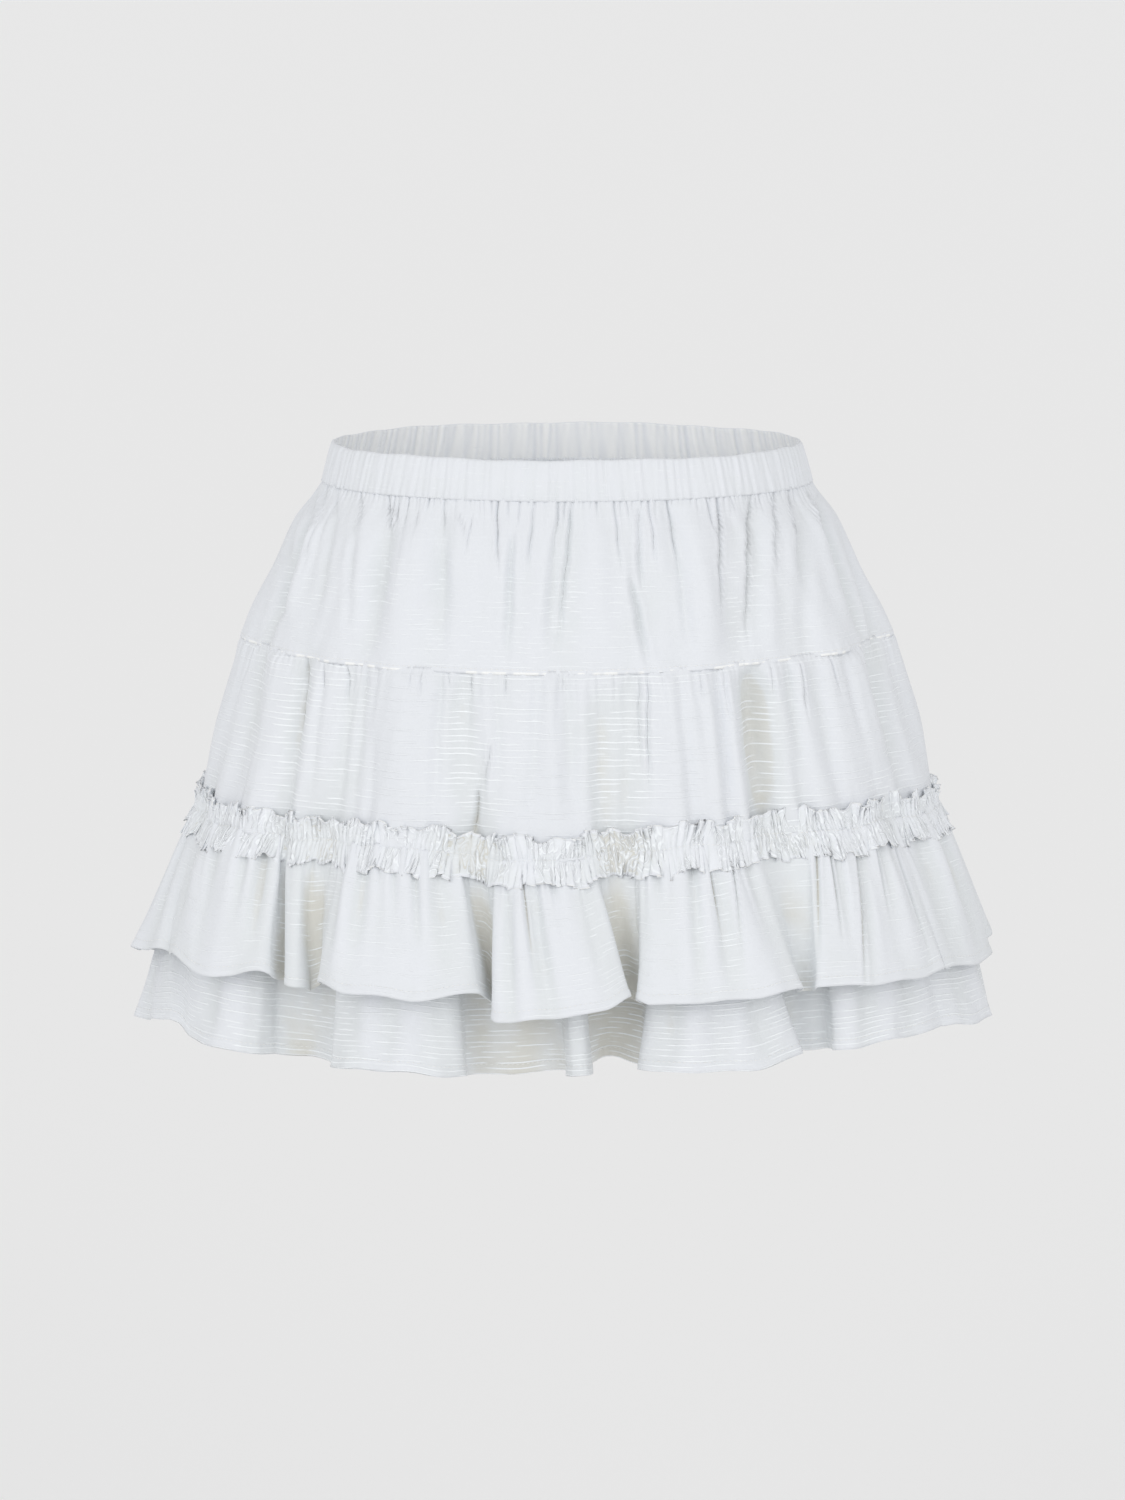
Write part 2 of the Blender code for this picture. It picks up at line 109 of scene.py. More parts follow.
# Where the two cross seams run: they rise and dip a little on the way round.
Dip = namedtuple("Dip", "angle height")
YOKE_SEAM = table(
    Dip,
    (-90, -104), (-40, -108), (0, -109), (40, -106), (90, -103), (140, -107), (180, -105), (225, -108),
    (270, -104),
)
FLOUNCE_SEAM = table(
    Dip,
    (-90, -211), (-60, -211), (-42, -213), (-27, -210), (-14, -216), (-4, -217), (7, -212), (20, -210),
    (34, -206), (60, -206), (90, -209), (120, -212), (150, -208), (180, -214), (215, -209), (245, -213),
    (270, -211),
)
HEM_FOLLOWS_SEAM = {"upper": 0.8, "lower": 0.6}
UPPER_HEM_LIFT = table(
    Dip,
    (-90, 0), (-65, 4), (-54, 0), (-45, 9), (-41, 5), (-36, 11), (-30, 4), (-20, 2), (-11.4, 9),
    (-9, -4), (-2, -2), (5, 1), (8.8, 7), (11, 2), (33, 1), (58, -1), (90, 0), (111, 5), (121, 0),
    (134, 7), (150, 1), (168, 2), (177, 7), (190, 0), (204, 5), (220, 0), (239, 6), (254, 2), (270, 0),
)
LOWER_HEM_LIFT = table(
    Dip,
    (-90, 1), (-60, 2), (-30, 0), (-7, 0), (3, 4), (10, 3), (26, 0), (36, 4), (52, 7), (72, 4), (90, 2),
    (140, 0), (180, 3), (230, 0), (270, 1),
)

# The large folds of yoke and tier, ridges out of the oval and troughs into it.
Fold = namedtuple("Fold", "top foot top_angle foot_angle half_angle out")
FOLDS = table(
    Fold,
    # Front.
    (-8, -100, -92, -60, 5, -3.5), (-50, -225, -84, -80, 9, 4.0), (-8, -80, -47, -37, 5, -3.0),
    (-95, -180, -53, -50, 5, -3.5), (-20, -205, -36, -26, 8, 4.0), (-8, -85, -30, -23, 4.5, -3.0),
    (-110, -195, -19, -17, 4, -2.5), (-40, -110, -11, -11, 4.5, -2.5), (-8, -105, 1, -2, 4.5, -3.0),
    (-112, -225, 6, 7, 8, -4.0), (-28, -105, 16, 14, 4.5, -4.0), (-8, -62, 24, 22, 4, -2.5),
    (-95, -225, 20, 22, 8, 5.0), (-8, -120, 32, 23, 5, 3.0), (-8, -105, 48, 33, 5, -4.5),
    (-105, -215, 35, 33, 7, -8.0), (-8, -70, 66, 51, 5.5, -3.0), (-60, -200, 56, 52, 9, 3.0),
    (-12, -150, 86, 67, 4.5, -3.5), (-60, -225, 86, 82, 9, 4.0),
    # Back.
    (-8, -110, 106, 112, 6, -3.5), (-100, -205, 116, 114, 7, -5.0), (-20, -190, 126, 126, 9, 4.0),
    (-8, -90, 138, 134, 5, -3.5), (-95, -210, 139, 138, 7, -5.5), (-8, -120, 151, 154, 6, -3.0),
    (-40, -200, 165, 168, 9, 4.0), (-8, -95, 177, 176, 5, -3.5), (-100, -210, 183, 183, 6, -5.0),
    (-8, -100, 198, 203, 5.5, -3.5), (-60, -205, 216, 214, 9, 4.5), (-8, -85, 226, 222, 5, -3.0),
    (-100, -210, 230, 230, 7, -5.5), (-8, -120, 246, 247, 6, -3.5), (-60, -200, 257, 257, 8, 3.5),
)

# Creases and soft ridges over those folds, placed one by one. The width, in
# degrees, is that of the trough at half its depth.
Crease = namedtuple("Crease", "top foot top_angle foot_angle width out")
YOKE_CREASES = table(
    Crease,
    # Front, from the left side seam.
    (-14, -126, -88, -69.5, 4, -3.2), (-14, -118, -79, -61, 5.5, 2.6), (-2, -70, -77, -62, 1, -1.4),
    (-2, -96, -69, -52, 2.2, -1.6), (-2, -42, -57.4, -47, 0.7, -1.5), (-20, -104, -55, -42, 1.8, -1.6),
    (-6, -42, -47.4, -38.0, 0.65, -2.1), (-2, -40, -43.6, -37.2, 0.6, -1.3),
    (-24, -112, -42.6, -36.5, 4, -2.9), (-18, -34, -35.4, -33.2, 0.6, -1.2),
    (-6, -22, -33.6, -32.8, 0.55, -1.7), (-20, -118, -34, -28.5, 5.7, 2.5),
    (-6, -36, -29.7, -26.6, 0.65, -1.7), (-36, -104, -26.4, -22.5, 2.2, -2.0),
    (-18, -36, -25.2, -20.6, 0.5, -1.1), (-20, -44, -21.5, -20.6, 0.5, -1.3),
    (-6, -56, -16.4, -13.5, 0.6, -2.4), (-2, -26, -14.3, -12.8, 0.5, -1.3),
    (-22, -112, -12.0, -10.5, 1.3, -2.8), (-2, -30, -10.8, -10.4, 0.5, -1.5),
    (-6, -56, -7.5, -7.8, 0.65, -2.0), (-10, -110, -4.6, -5.2, 3, 1.5),
    (-6, -50, -1.6, -3.2, 0.65, -1.7), (-30, -100, -2.6, -3.4, 1.6, -1.6),
    (-2, -28, -0.7, -0.6, 0.5, -1.3), (-6, -104, 1.5, -1.9, 0.8, -2.5), (-14, -104, 6.0, 6.4, 3.5, 1.4),
    (-2, -24, 6.4, 6.7, 0.5, -1.2), (-2, -58, 10.4, 11.0, 0.6, -1.8), (-2, -26, 13.4, 13.7, 0.5, -1.2),
    (-12, -72, 16.5, 14.1, 0.95, -2.2), (-52, -114, 12.4, 14.6, 1.2, -3.2),
    (-2, -58, 18.8, 18.0, 0.6, -1.7), (-6, -58, 23.5, 22.8, 0.65, -2.2),
    (-44, -108, 23.0, 22.2, 1.6, -1.9), (-10, -118, 29.0, 26.0, 4.1, 2.5),
    (-2, -38, 33.2, 32.6, 0.6, -1.5), (-6, -92, 37.9, 28.6, 0.75, -2.6),
    (-20, -112, 40.5, 31.2, 4.4, -2.2), (-2, -24, 40.9, 39.6, 0.5, -1.2),
    (-2, -20, 45.9, 44.6, 0.5, -1.2), (-6, -108, 48.8, 33.2, 0.85, -2.6),
    (-14, -112, 52, 38.4, 3.4, 2.0), (-2, -24, 54.9, 52.0, 0.5, -1.2),
    (-6, -70, 57.6, 43.4, 0.75, -1.7), (-26, -116, 62, 46.0, 3.4, -2.2),
    (-2, -58, 65.2, 53.0, 0.7, -1.7), (-2, -42, 73.4, 66.4, 0.7, -1.5), (-14, -118, 76, 60, 4.4, 2.4),
    (-14, -126, 86, 68.5, 3.6, -3.8),
    # Back, from the right side seam.
    (-2, -110, 103, 108, 1.6, -2.2), (-2, -50, 111, 114, 0.6, -1.6), (-10, -116, 116, 119, 4.9, 2.2),
    (-6, -84, 123, 124, 0.85, -2.0), (-2, -44, 128, 127, 0.5, -1.4), (-18, -112, 134, 130, 1.4, -2.6),
    (-6, -92, 141, 137, 0.75, -2.5), (-12, -110, 145, 143, 4.1, 1.7), (-2, -46, 149, 148, 0.5, -1.4),
    (-2, -112, 155, 158, 1.3, -2.7), (-2, -58, 161, 161, 0.6, -1.6), (-2, -40, 166, 165, 0.5, -1.3),
    (-24, -108, 171, 173, 1.4, -2.2), (-10, -114, 176, 177, 3.5, 1.6), (-6, -90, 181, 179, 0.65, -2.2),
    (-2, -44, 186, 187, 0.5, -1.4), (-6, -70, 191, 192, 0.75, -1.8), (-2, -114, 198, 204, 1.3, -3.0),
    (-2, -52, 205, 207, 0.6, -1.6), (-12, -112, 211, 211, 4.6, 2.2), (-6, -88, 222, 219, 0.75, -2.2),
    (-2, -46, 226, 226, 0.5, -1.4), (-20, -112, 233, 231, 1.4, -2.0), (-2, -100, 246, 249, 1.3, -2.3),
    (-2, -56, 252, 254, 0.6, -1.6), (-2, -104, 262, 258, 1.4, -1.9),
)
TIER_CREASES = table(
    Crease,
    # Front, from the left side seam.
    (-96, -234, -70.5, -66.5, 5.0, -3.6), (-96, -238, -62.5, -57.5, 5.0, 3.0),
    (-96, -222, -53.6, -49.2, 2.6, -2.7), (-104, -156, -53.6, -49.7, 0.5, -2.0),
    (-104, -128, -47.4, -45.6, 0.45, -1.5), (-104, -210, -47.2, -43.6, 1.6, -1.2),
    (-104, -136, -42.0, -39.9, 0.45, -1.7), (-98, -222, -41.2, -38.0, 2.2, -2.2),
    (-98, -226, -38.4, -36.2, 6.8, -2.2), (-104, -216, -37.6, -35.0, 1.5, -1.5),
    (-146, -226, -32.6, -31.4, 1.5, -1.2), (-96, -240, -28.4, -25.4, 5.9, 3.1),
    (-104, -122, -27.6, -27.0, 0.4, -1.4), (-104, -126, -25.9, -25.0, 0.4, -1.6),
    (-98, -216, -22.8, -20.4, 1.6, -1.8), (-104, -121, -20.8, -20.2, 0.4, -1.3),
    (-104, -124, -16.7, -16.4, 0.4, -1.3), (-98, -240, -18.4, -13.4, 3.5, -3.2),
    (-150, -236, -13.0, -15.4, 1.4, -1.9), (-98, -200, -12.6, -10.4, 1.4, -1.4),
    (-98, -140, -10.4, -9.8, 1.1, -1.1), (-148, -184, -12.4, -13.1, 0.5, -1.8),
    (-176, -208, -14.0, -14.4, 0.6, -2.4), (-104, -126, -10.6, -10.4, 0.4, -1.4),
    (-98, -214, -5.0, -5.6, 1.6, -1.4), (-104, -121, -0.7, -0.7, 0.4, -1.3),
    (-98, -226, -2.6, -2.4, 2.7, 1.7), (-98, -216, -0.5, 1.4, 2.3, -2.6),
    (-130, -236, 5.6, 4.8, 2.2, -1.9), (-98, -240, 9.4, 8.2, 6.8, -2.7),
    (-98, -240, 11.4, 8.8, 2.4, -2.0), (-104, -172, 12.7, 11.6, 0.5, -1.8),
    (-104, -190, 14.1, 12.7, 0.5, -2.0), (-98, -240, 16.4, 16.2, 3.8, 2.5),
    (-98, -226, 19.3, 19.6, 1.6, -1.8), (-98, -166, 22.3, 23.0, 1.4, -1.4),
    (-98, -240, 24.6, 23.4, 3.0, 1.7), (-104, -128, 23.4, 23.0, 0.45, -1.6),
    (-98, -222, 26.8, 25.4, 1.6, -1.8), (-104, -142, 28.0, 27.2, 0.5, -1.8),
    (-98, -236, 28.4, 28.5, 2.2, 2.3), (-96, -238, 34.4, 32.0, 3.8, -6.2),
    (-98, -232, 38.6, 37.4, 3.5, 2.2), (-104, -130, 37.6, 37.4, 0.5, -1.5),
    (-98, -176, 41.8, 41.0, 1.8, -1.8), (-104, -146, 44.8, 43.6, 0.5, -1.5),
    (-98, -232, 44.4, 43.2, 3.2, 1.7), (-98, -222, 48.6, 48.2, 3.0, -2.2),
    (-104, -130, 52.2, 52.7, 0.5, -1.5), (-98, -170, 56.6, 56.0, 1.8, -1.4),
    (-96, -240, 61.6, 61.0, 5.4, 3.0), (-92, -236, 68.5, 69.5, 4.6, -3.8),
    # Back, from the right side seam.
    (-96, -216, 101, 102, 2.2, -2.2), (-104, -132, 110, 110, 0.5, -1.6),
    (-104, -150, 126, 125, 0.5, -2.0), (-104, -124, 134, 134, 0.4, -1.4),
    (-104, -138, 150, 150.4, 0.5, -1.7), (-104, -126, 158, 158, 0.4, -1.4),
    (-104, -176, 169, 170, 0.5, -1.9), (-104, -128, 179, 179, 0.45, -1.5),
    (-104, -122, 187, 186.6, 0.4, -1.4), (-104, -160, 196, 197, 0.5, -1.9),
    (-104, -128, 204, 204, 0.45, -1.5), (-104, -144, 221, 220, 0.5, -1.7),
    (-104, -126, 234, 234, 0.4, -1.4), (-104, -150, 246, 247, 0.5, -1.8),
    (-98, -150, 107, 108, 1.5, -1.4), (-96, -232, 113, 112, 3.5, -2.9), (-98, -240, 119, 118, 4.3, 2.3),
    (-98, -170, 123, 123, 1.6, -1.6), (-98, -226, 129, 128, 1.9, -2.0),
    (-96, -236, 138.4, 137.6, 3.8, -4.4), (-98, -240, 143, 143, 3.5, 2.2),
    (-98, -150, 147, 147, 1.4, -1.4), (-98, -204, 153, 154, 1.9, -2.0),
    (-98, -236, 161, 162, 2.6, -2.3), (-98, -240, 167, 167, 4.3, 2.3), (-98, -156, 171, 171, 1.4, -1.4),
    (-140, -236, 176, 174, 2.0, -2.0), (-96, -236, 183, 183, 3.5, -2.9),
    (-98, -240, 188, 189, 3.2, 2.2), (-98, -160, 192, 192, 1.5, -1.6), (-98, -232, 200, 198, 2.2, -2.3),
    (-98, -190, 208, 209, 1.8, -1.8), (-98, -240, 214, 213, 4.9, 2.5), (-98, -150, 219, 219, 1.4, -1.4),
    (-96, -236, 229.6, 230.2, 3.8, -4.2), (-98, -180, 237, 238, 1.8, -1.8),
    (-98, -240, 243, 243, 4.1, 2.2), (-98, -228, 249, 251, 2.2, -2.3), (-98, -200, 261, 261, 2.2, -2.0),
)

# The flounces' flutes. A lobe spans its two angles at the seam and at the hem.
# The crest is how far it stands out of the hem's oval, the valley how far the
# cloth between it and the next lobe does.
Flute = namedtuple(
    "Flute", "top_left top_right hem_left hem_right crest valley left_tuck right_tuck",
    defaults=(1.2, 1.2),
)
SIDE_VALLEY = {"upper": -4.0, "lower": -12.0}
FLUTES = {
    ("upper", "front"): table(
        Flute,
        (-87, -80, -86.5, -69, 25, 20, 1.2, -1.5), (-75, -50, -64.5, -43.8, 26, -3, -1.5, 0.4),
        (-47.6, -43.6, -42.2, -39.4, 11, -5, -0.4, 0.2), (-36.5, -17, -35.8, -11.6, 27, -6, -0.8, -0.8),
        (-10.6, 3.2, -9.6, 8.2, 29, -8, 1.0, 1.0), (11.2, 28.0, 9.6, 32.4, 27, 5, 0.6, -0.5),
        (39.7, 58, 34.8, 58.5, 27, 20, 0.3, -0.8),
        (61, 84, 61.5, 86, 22, SIDE_VALLEY["upper"], -1.5, 1.2),
    ),
    ("upper", "back"): table(
        Flute,
        (96, 112, 93.5, 113, 25, -7), (119, 133, 116, 137, 27, -9), (140, 152, 140.5, 158, 25, -10),
        (160, 176, 161.5, 182.5, 27, -7), (184, 200, 186, 205, 26, -10), (207, 222, 208.5, 229, 27, -8),
        (230, 243, 232, 247, 25, -7), (249, 263, 250.5, 266.5, 25, SIDE_VALLEY["upper"]),
    ),
    ("lower", "front"): table(
        Flute,
        (-85.5, -82, -84.5, -66, 24, 18, 1.2, -1.5), (-66, -52, -60.0, -47.5, 20, -17, -1.5, 0.6),
        (-34.5, -18.5, -34.5, -14.0, 19, -26), (-1.4, 1.5, -0.2, 3.3, 8, -36),
        (15.0, 26.5, 10.2, 33.2, 19, -9, 0.8, 0.2), (42.0, 56, 39.0, 58, 20, 18, 1.0, -1.5),
        (63, 82.5, 62.5, 84.5, 23, SIDE_VALLEY["lower"], -1.5, 1.2),
    ),
    ("lower", "back"): table(
        Flute,
        (98, 110, 96, 110.5, 19, -17), (121, 131, 118.5, 134.5, 19, -19),
        (142, 150.5, 143, 155.5, 18, -20), (162, 174, 164, 180, 19, -17),
        (186, 198, 188.5, 202.5, 18, -20), (209, 220, 211, 226.5, 19, -18),
        (232, 241.5, 234.5, 244.5, 18, -17), (251, 261.5, 253, 264.5, 19, SIDE_VALLEY["lower"]),
    ),
}
KNOTS_PER_FLUTE = 8
LEFT_EDGE_KNOT = 4
FACE_KNOTS = 4

# A flute's outline, from the share of its depth at which its wall tucks in
# behind the lobe, past its widest point, to the shoulder of its crest.
WALL_DEPTHS = (0.26, 0.66, 0.95)
WIDEST_TUCK_SHARE = 0.22
SHOULDER_SHARE = 0.2
TOP_WALL_SHARE = 0.35
FLAT_AT_SIDE_SEAM = 1.0
FLARE_POWER = 0.82

# The seam under the trim swells over each lobe and sinks between two.
SEAM_SWELL = 3.6
SWELL_EDGE_SHARE = 0.3
FULL_SWELL_ANGLE = 12.0
SWELL_STARTS = -150.0
LOWER_STEP_IN = 2.6

# Creases down the lobes: which lobe, where across its face at the seam and at
# the hem (0 its left edge, 1 its right), to which share of the flounce's length,
# and from which.
LobeCrease = namedtuple(
    "LobeCrease", "lobe top_share hem_share end width depth start", defaults=(0.0,)
)
SHARP_WIDTH = 3.0
# A trough's scale against its width at half its depth, and how creases waver: to
# each side, and over which two lengths.
TROUGH_SCALE = 0.6
WAVER = 0.28
WAVER_LENGTHS = (6.5, 2.9)
# A crease never comes nearer to the outline than this share of the half width.
OUTLINE_SHARE = 0.9995
LOBE_CREASES = {
    ("upper", "front"): table(
        LobeCrease,
        (0, 0.55, 0.5, 0.9, 10, -1.6), (1, 0.20, 0.30, 0.40, 7, -1.6), (1, 0.46, 0.42, 0.50, 7, -1.4),
        (1, 0.72, 0.66, 0.75, 6, -3.0), (1, 0.87, 0.82, 1.15, 9, -3.4), (3, 0.12, 0.16, 1.05, 8, -2.0),
        (3, 0.32, 0.31, 0.90, 9, -3.4), (3, 0.43, 0.43, 0.35, 2.2, -0.9),
        (3, 0.52, 0.54, 0.60, 5, -1.5), (3, 0.65, 0.66, 0.80, 6, -3.5), (3, 0.81, 0.78, 1.15, 12, -2.0),
        (4, 0.19, 0.18, 1.25, 9, -3.0, 0.1), (4, 0.32, 0.38, 0.80, 2.2, -2.6),
        (4, 0.38, 0.44, 1.25, 11, -5.4, 0.1), (4, 0.56, 0.58, 0.35, 6, -1.4),
        (4, 0.80, 0.74, 0.9, 16, -1.6, 0.1), (5, 0.16, 0.20, 0.40, 7, -1.6),
        (5, 0.45, 0.38, 1.10, 9, -4.0), (5, 0.56, 0.53, 0.70, 2.2, -2.4),
        (5, 0.60, 0.54, 1.10, 13, -2.8, 0.1), (5, 0.74, 0.58, 0.90, 2.2, -2.2),
        (5, 0.88, 0.86, 0.60, 7, -1.6), (6, 0.06, 0.02, 0.90, 2.6, -3.0),
        (6, 0.18, 0.24, 0.80, 2.2, -2.6), (6, 0.45, 0.34, 1.25, 2.4, -3.2),
        (6, 0.24, 0.28, 0.90, 8, -2.0), (6, 0.48, 0.38, 1.30, 9, -2.8), (6, 0.68, 0.62, 0.80, 8, -1.8),
        (6, 0.63, 0.56, 0.65, 2.2, -2.4), (6, 0.78, 0.78, 0.45, 6, -1.4),
        (6, 0.93, 0.86, 1.00, 2.4, -3.0), (7, 0.24, 0.26, 0.8, 10, -1.9),
        (7, 0.55, 0.52, 1.1, 14, -1.9), (7, 0.80, 0.80, 0.6, 10, -1.6),
    ),
    ("upper", "back"): table(
        LobeCrease,
        (0, 0.22, 0.26, 0.5, 9, -2.1), (0, 0.56, 0.54, 1.1, 10, -2.9), (0, 0.84, 0.80, 0.6, 10, -1.9),
        (1, 0.18, 0.24, 0.9, 10, -2.4), (1, 0.48, 0.46, 0.4, 9, -1.6), (1, 0.70, 0.72, 1.15, 12, -2.7),
        (2, 0.30, 0.34, 0.7, 10, -2.4), (2, 0.68, 0.64, 1.1, 10, -2.7), (3, 0.16, 0.18, 0.5, 9, -1.8),
        (3, 0.38, 0.42, 1.1, 12, -2.7), (3, 0.60, 0.58, 0.4, 9, -1.6), (3, 0.80, 0.82, 0.8, 10, -2.2),
        (4, 0.24, 0.22, 1.1, 12, -2.7), (4, 0.50, 0.56, 0.5, 9, -1.9), (4, 0.78, 0.74, 1.0, 10, -2.4),
        (5, 0.20, 0.26, 0.6, 10, -2.1), (5, 0.46, 0.44, 1.15, 10, -3.0), (5, 0.74, 0.78, 0.5, 9, -1.9),
        (6, 0.28, 0.30, 0.9, 10, -2.6), (6, 0.66, 0.62, 0.6, 10, -2.1), (7, 0.22, 0.26, 1.1, 10, -2.7),
        (7, 0.54, 0.50, 0.5, 9, -1.8), (7, 0.80, 0.84, 0.8, 10, -2.2),
    ),
    ("lower", "front"): table(
        LobeCrease,
        (0, 0.45, 0.40, 1.15, 16, -2.2, 0.55), (0, 0.80, 0.78, 1.1, 16, -1.6, 0.50),
        (1, 0.40, 0.44, 1.15, 16, -1.9, 0.50), (2, 0.22, 0.24, 1.15, 16, -1.8, 0.50),
        (2, 0.52, 0.50, 1.15, 12, -1.9, 0.60), (2, 0.80, 0.82, 1.1, 14, -1.6, 0.50),
        (4, 0.20, 0.18, 1.15, 16, -2.1, 0.50), (4, 0.70, 0.72, 1.15, 14, -1.6, 0.50),
        (5, 0.30, 0.34, 1.15, 14, -1.9, 0.50), (5, 0.72, 0.70, 1.1, 14, -1.6, 0.50),
        (6, 0.26, 0.24, 1.15, 16, -2.1, 0.50), (6, 0.62, 0.66, 1.15, 14, -1.8, 0.50),
    ),
    ("lower", "back"): table(
        LobeCrease,
        (0, 0.40, 0.44, 1.15, 16, -2.1, 0.50), (1, 0.28, 0.26, 1.15, 14, -1.8, 0.50),
        (1, 0.70, 0.74, 1.1, 16, -1.8, 0.50), (2, 0.52, 0.50, 1.15, 14, -1.9, 0.50),
        (3, 0.30, 0.34, 1.15, 16, -1.9, 0.50), (3, 0.74, 0.72, 1.15, 14, -1.6, 0.55),
        (4, 0.40, 0.36, 1.15, 16, -2.1, 0.50), (5, 0.26, 0.28, 1.15, 14, -1.8, 0.50),
        (5, 0.66, 0.70, 1.1, 16, -1.8, 0.50), (6, 0.48, 0.52, 1.15, 14, -1.9, 0.50),
        (7, 0.36, 0.40, 1.15, 16, -1.9, 0.50),
    ),
}

# How finely each shell is built: faces round it, and faces down it.
Grid = namedtuple("Grid", "columns rows")
YOKE_GRID = Grid(740, 31)
TIER_GRID = Grid(740, 31)
FLOUNCE_GRID = {"upper": Grid(1000, 26), "lower": Grid(600, 28)}
BAND_GRID = Grid(1200, 8)
TRIM_GRID = Grid(2200, 14)
# How much closer the rows are near both ends of a panel than evenly spread.
END_ROWS = 0.55
# Steps for measuring lengths along curves.
FINE_STEPS_PER_FLUTE = 60
FINE_STEPS_PER_PANEL = 12001
FINE_STEPS_PER_HEM = 4000
FINE_STEPS_PER_ARC = 2401

# Uneven small gathers along a seam, each pair a lowest and a highest value.
Gathers = namedtuple("Gathers", "seed spacing length width depth lean")
YOKE_TOP = Gathers(11, 4.4, (8, 60), (0.55, 1.0), (0.3, 1.5), 0.05)
SEAM_PUCKERS = Gathers(15, 2.6, (3, 9), (0.5, 0.9), (0.2, 0.6), 0.12)
YOKE_FOOT = Gathers(12, 7.0, (4, 16), (1.1, 2.0), (0.15, 0.6), 0.08)
TIER_TOP = Gathers(13, 4.6, (8, 60), (0.7, 1.6), (0.3, 1.3), 0.05)
TIER_FOOT = Gathers(14, 6.0, (10, 90), (1.4, 2.6), (0.2, 0.8), 0.06)
FLOUNCE_TOP = {
    "upper": Gathers(15, 6.5, (16, 88), (1.3, 2.6), (0.5, 1.7), 0.05),
    "lower": Gathers(16, 8.0, (40, 125), (1.5, 3.0), (0.4, 1.3), 0.04),
}
BAND_PLEATS = Gathers(17, 4.6, (16, 70), (0.8, 1.4), (0.4, 1.3), 0.05)
Pleat = namedtuple("Pleat", "place length width depth lean")

# How far round the gathers of each seam run, more than once round the skirt.
BAND_RUN = 1000
SEAM_RUN = 1400
TRIM_RUN = 1600

# The trim: a strip gathered along its middle, whose two free edges ruffle.
TRIM_HALF_HEIGHT = 14.0
TRIM_SEAT = 1.3
TRIM_RIBS = 410
TRIM_RIB_DEPTH = 0.45
TRIM_STITCH_DIP = 1.0
TRIM_STRETCH = 1.6
Ruffle = namedtuple("Ruffle", "seed waves flare depth curl rise sway flop")
TRIM_RUFFLES = {
    "top": Ruffle(31, 196, 0.4, 1.1, 1.4, 1.4, 2.0, 2.4),
    "foot": Ruffle(37, 210, 0.2, 1.1, 1.2, 1.2, 1.8, 1.6),
}
# How much darker the trim's tone is painted, as painted shade, where a deep valley
# between two lobes lies behind it.
TRIM_VALLEY_SHADE = table(
    Dip,
    (-90, 0), (-48, 0), (-40, -3), (-32, 0), (-24, 0), (-14, -5), (-5, 0), (-1, 0), (8, -5), (17, 0),
    (90, 0), (127, 0), (136, -4), (145, 0), (171, 0), (180, -5), (189, 0), (220, 0), (229, -4),
    (238, 0), (270, 0),
)

# A hollow this deep gets the full painted shade of the hollows' colour, and a
# flounce's valleys count as so deep.
FULL_HOLLOW = 13.0
FLOUNCE_HOLLOW = 12.0

# Slow swelling of loose cloth, and how far below its seam it is at its full height.
Swell = namedtuple("Swell", "shortest longest height count")
BODY_SWELL = Swell(28, 110, 0.55, 14)
BODY_DENTS = Swell(9, 26, 0.12, 18)
FLOUNCE_SWELL = Swell(24, 90, 0.7, 14)
HEM_SWELL = Swell(26, 90, 0.9, 14)
HEM_RISE = Swell(30, 120, 0.5, 12)
FULL_SWELL_DOWN = {"yoke": 25, "tier": 20, "flounce": 30}

# How the cloth turns at its edges: a dip or roll into the cloth, and its reach.
SIDE_ROLL = (1.1, 1.6)
YOKE_LAP_ROLL = (0.35, 1.0)
YOKE_LAP_STEP = 0.2
YOKE_DIP_UNDER_BAND = 0.45
TIER_PUFF = 0.9
TIER_SET_BACK = 0.35
HEM_ROLL = (0.35, 0.9)
HEM_STEP = 0.3
NEAR_HEM = 26
NEAR_SIDE_SEAM = 12
LOWER_FLOUNCE_TOP_OUT = 1.4
BAND_STITCH_DIP = (0.55, 0.7)

# How strongly folds, creases, waves and ribs count towards the tone that tells
# the hollows of a cloth from its ridges, which sets its painted shade.
YOKE_FORM_TONE = 0.5
TIER_FORM_TONE = 1.5
LOBE_TONE = 1.2
SHARP_CREASE_TONE = 2.2
TRIM_WAVE_TONE = 2.2
TRIM_RIB_TONE = 1.2

# Random draws: a panel's own numbers come after its seed, the back's further on.
YOKE_SEED = 21
TIER_SEED = 23
FLOUNCE_SEED = 25
TRIM_SEED = 41
YOKE_EDGE_SEED = 61
SIDE_SEED = {"front": 0, "back": 50}
SECOND_RUN = 5
BAND_TOP_RUN = 3

# The stitches: the row of the yoke that they follow, how far they stand off the
# cloth, and each line's seed.
YOKE_STITCH_ROW = -3
STITCH_LIFT = 0.5
BAND_STITCH_LIFT = 0.2
STITCH_SEEDS = {"yoke": 1, "hem": 3, "trim": 5, "band": 7}


def colour_setting(name, description, value):
    """A colour that the panel offers."""
    return bpy.props.FloatVectorProperty(
        name=name, description=description, subtype="COLOR", size=3, min=0, max=1, default=value
    )


def length_setting(name, description, value):
    """A length in metres that the panel offers."""
    return bpy.props.FloatProperty(
        name=name, description=description, unit="LENGTH", default=value
    )


def strength_setting(name, description, value):
    """A light's strength that the panel offers."""
    return bpy.props.FloatProperty(name=name, description=description, default=value)


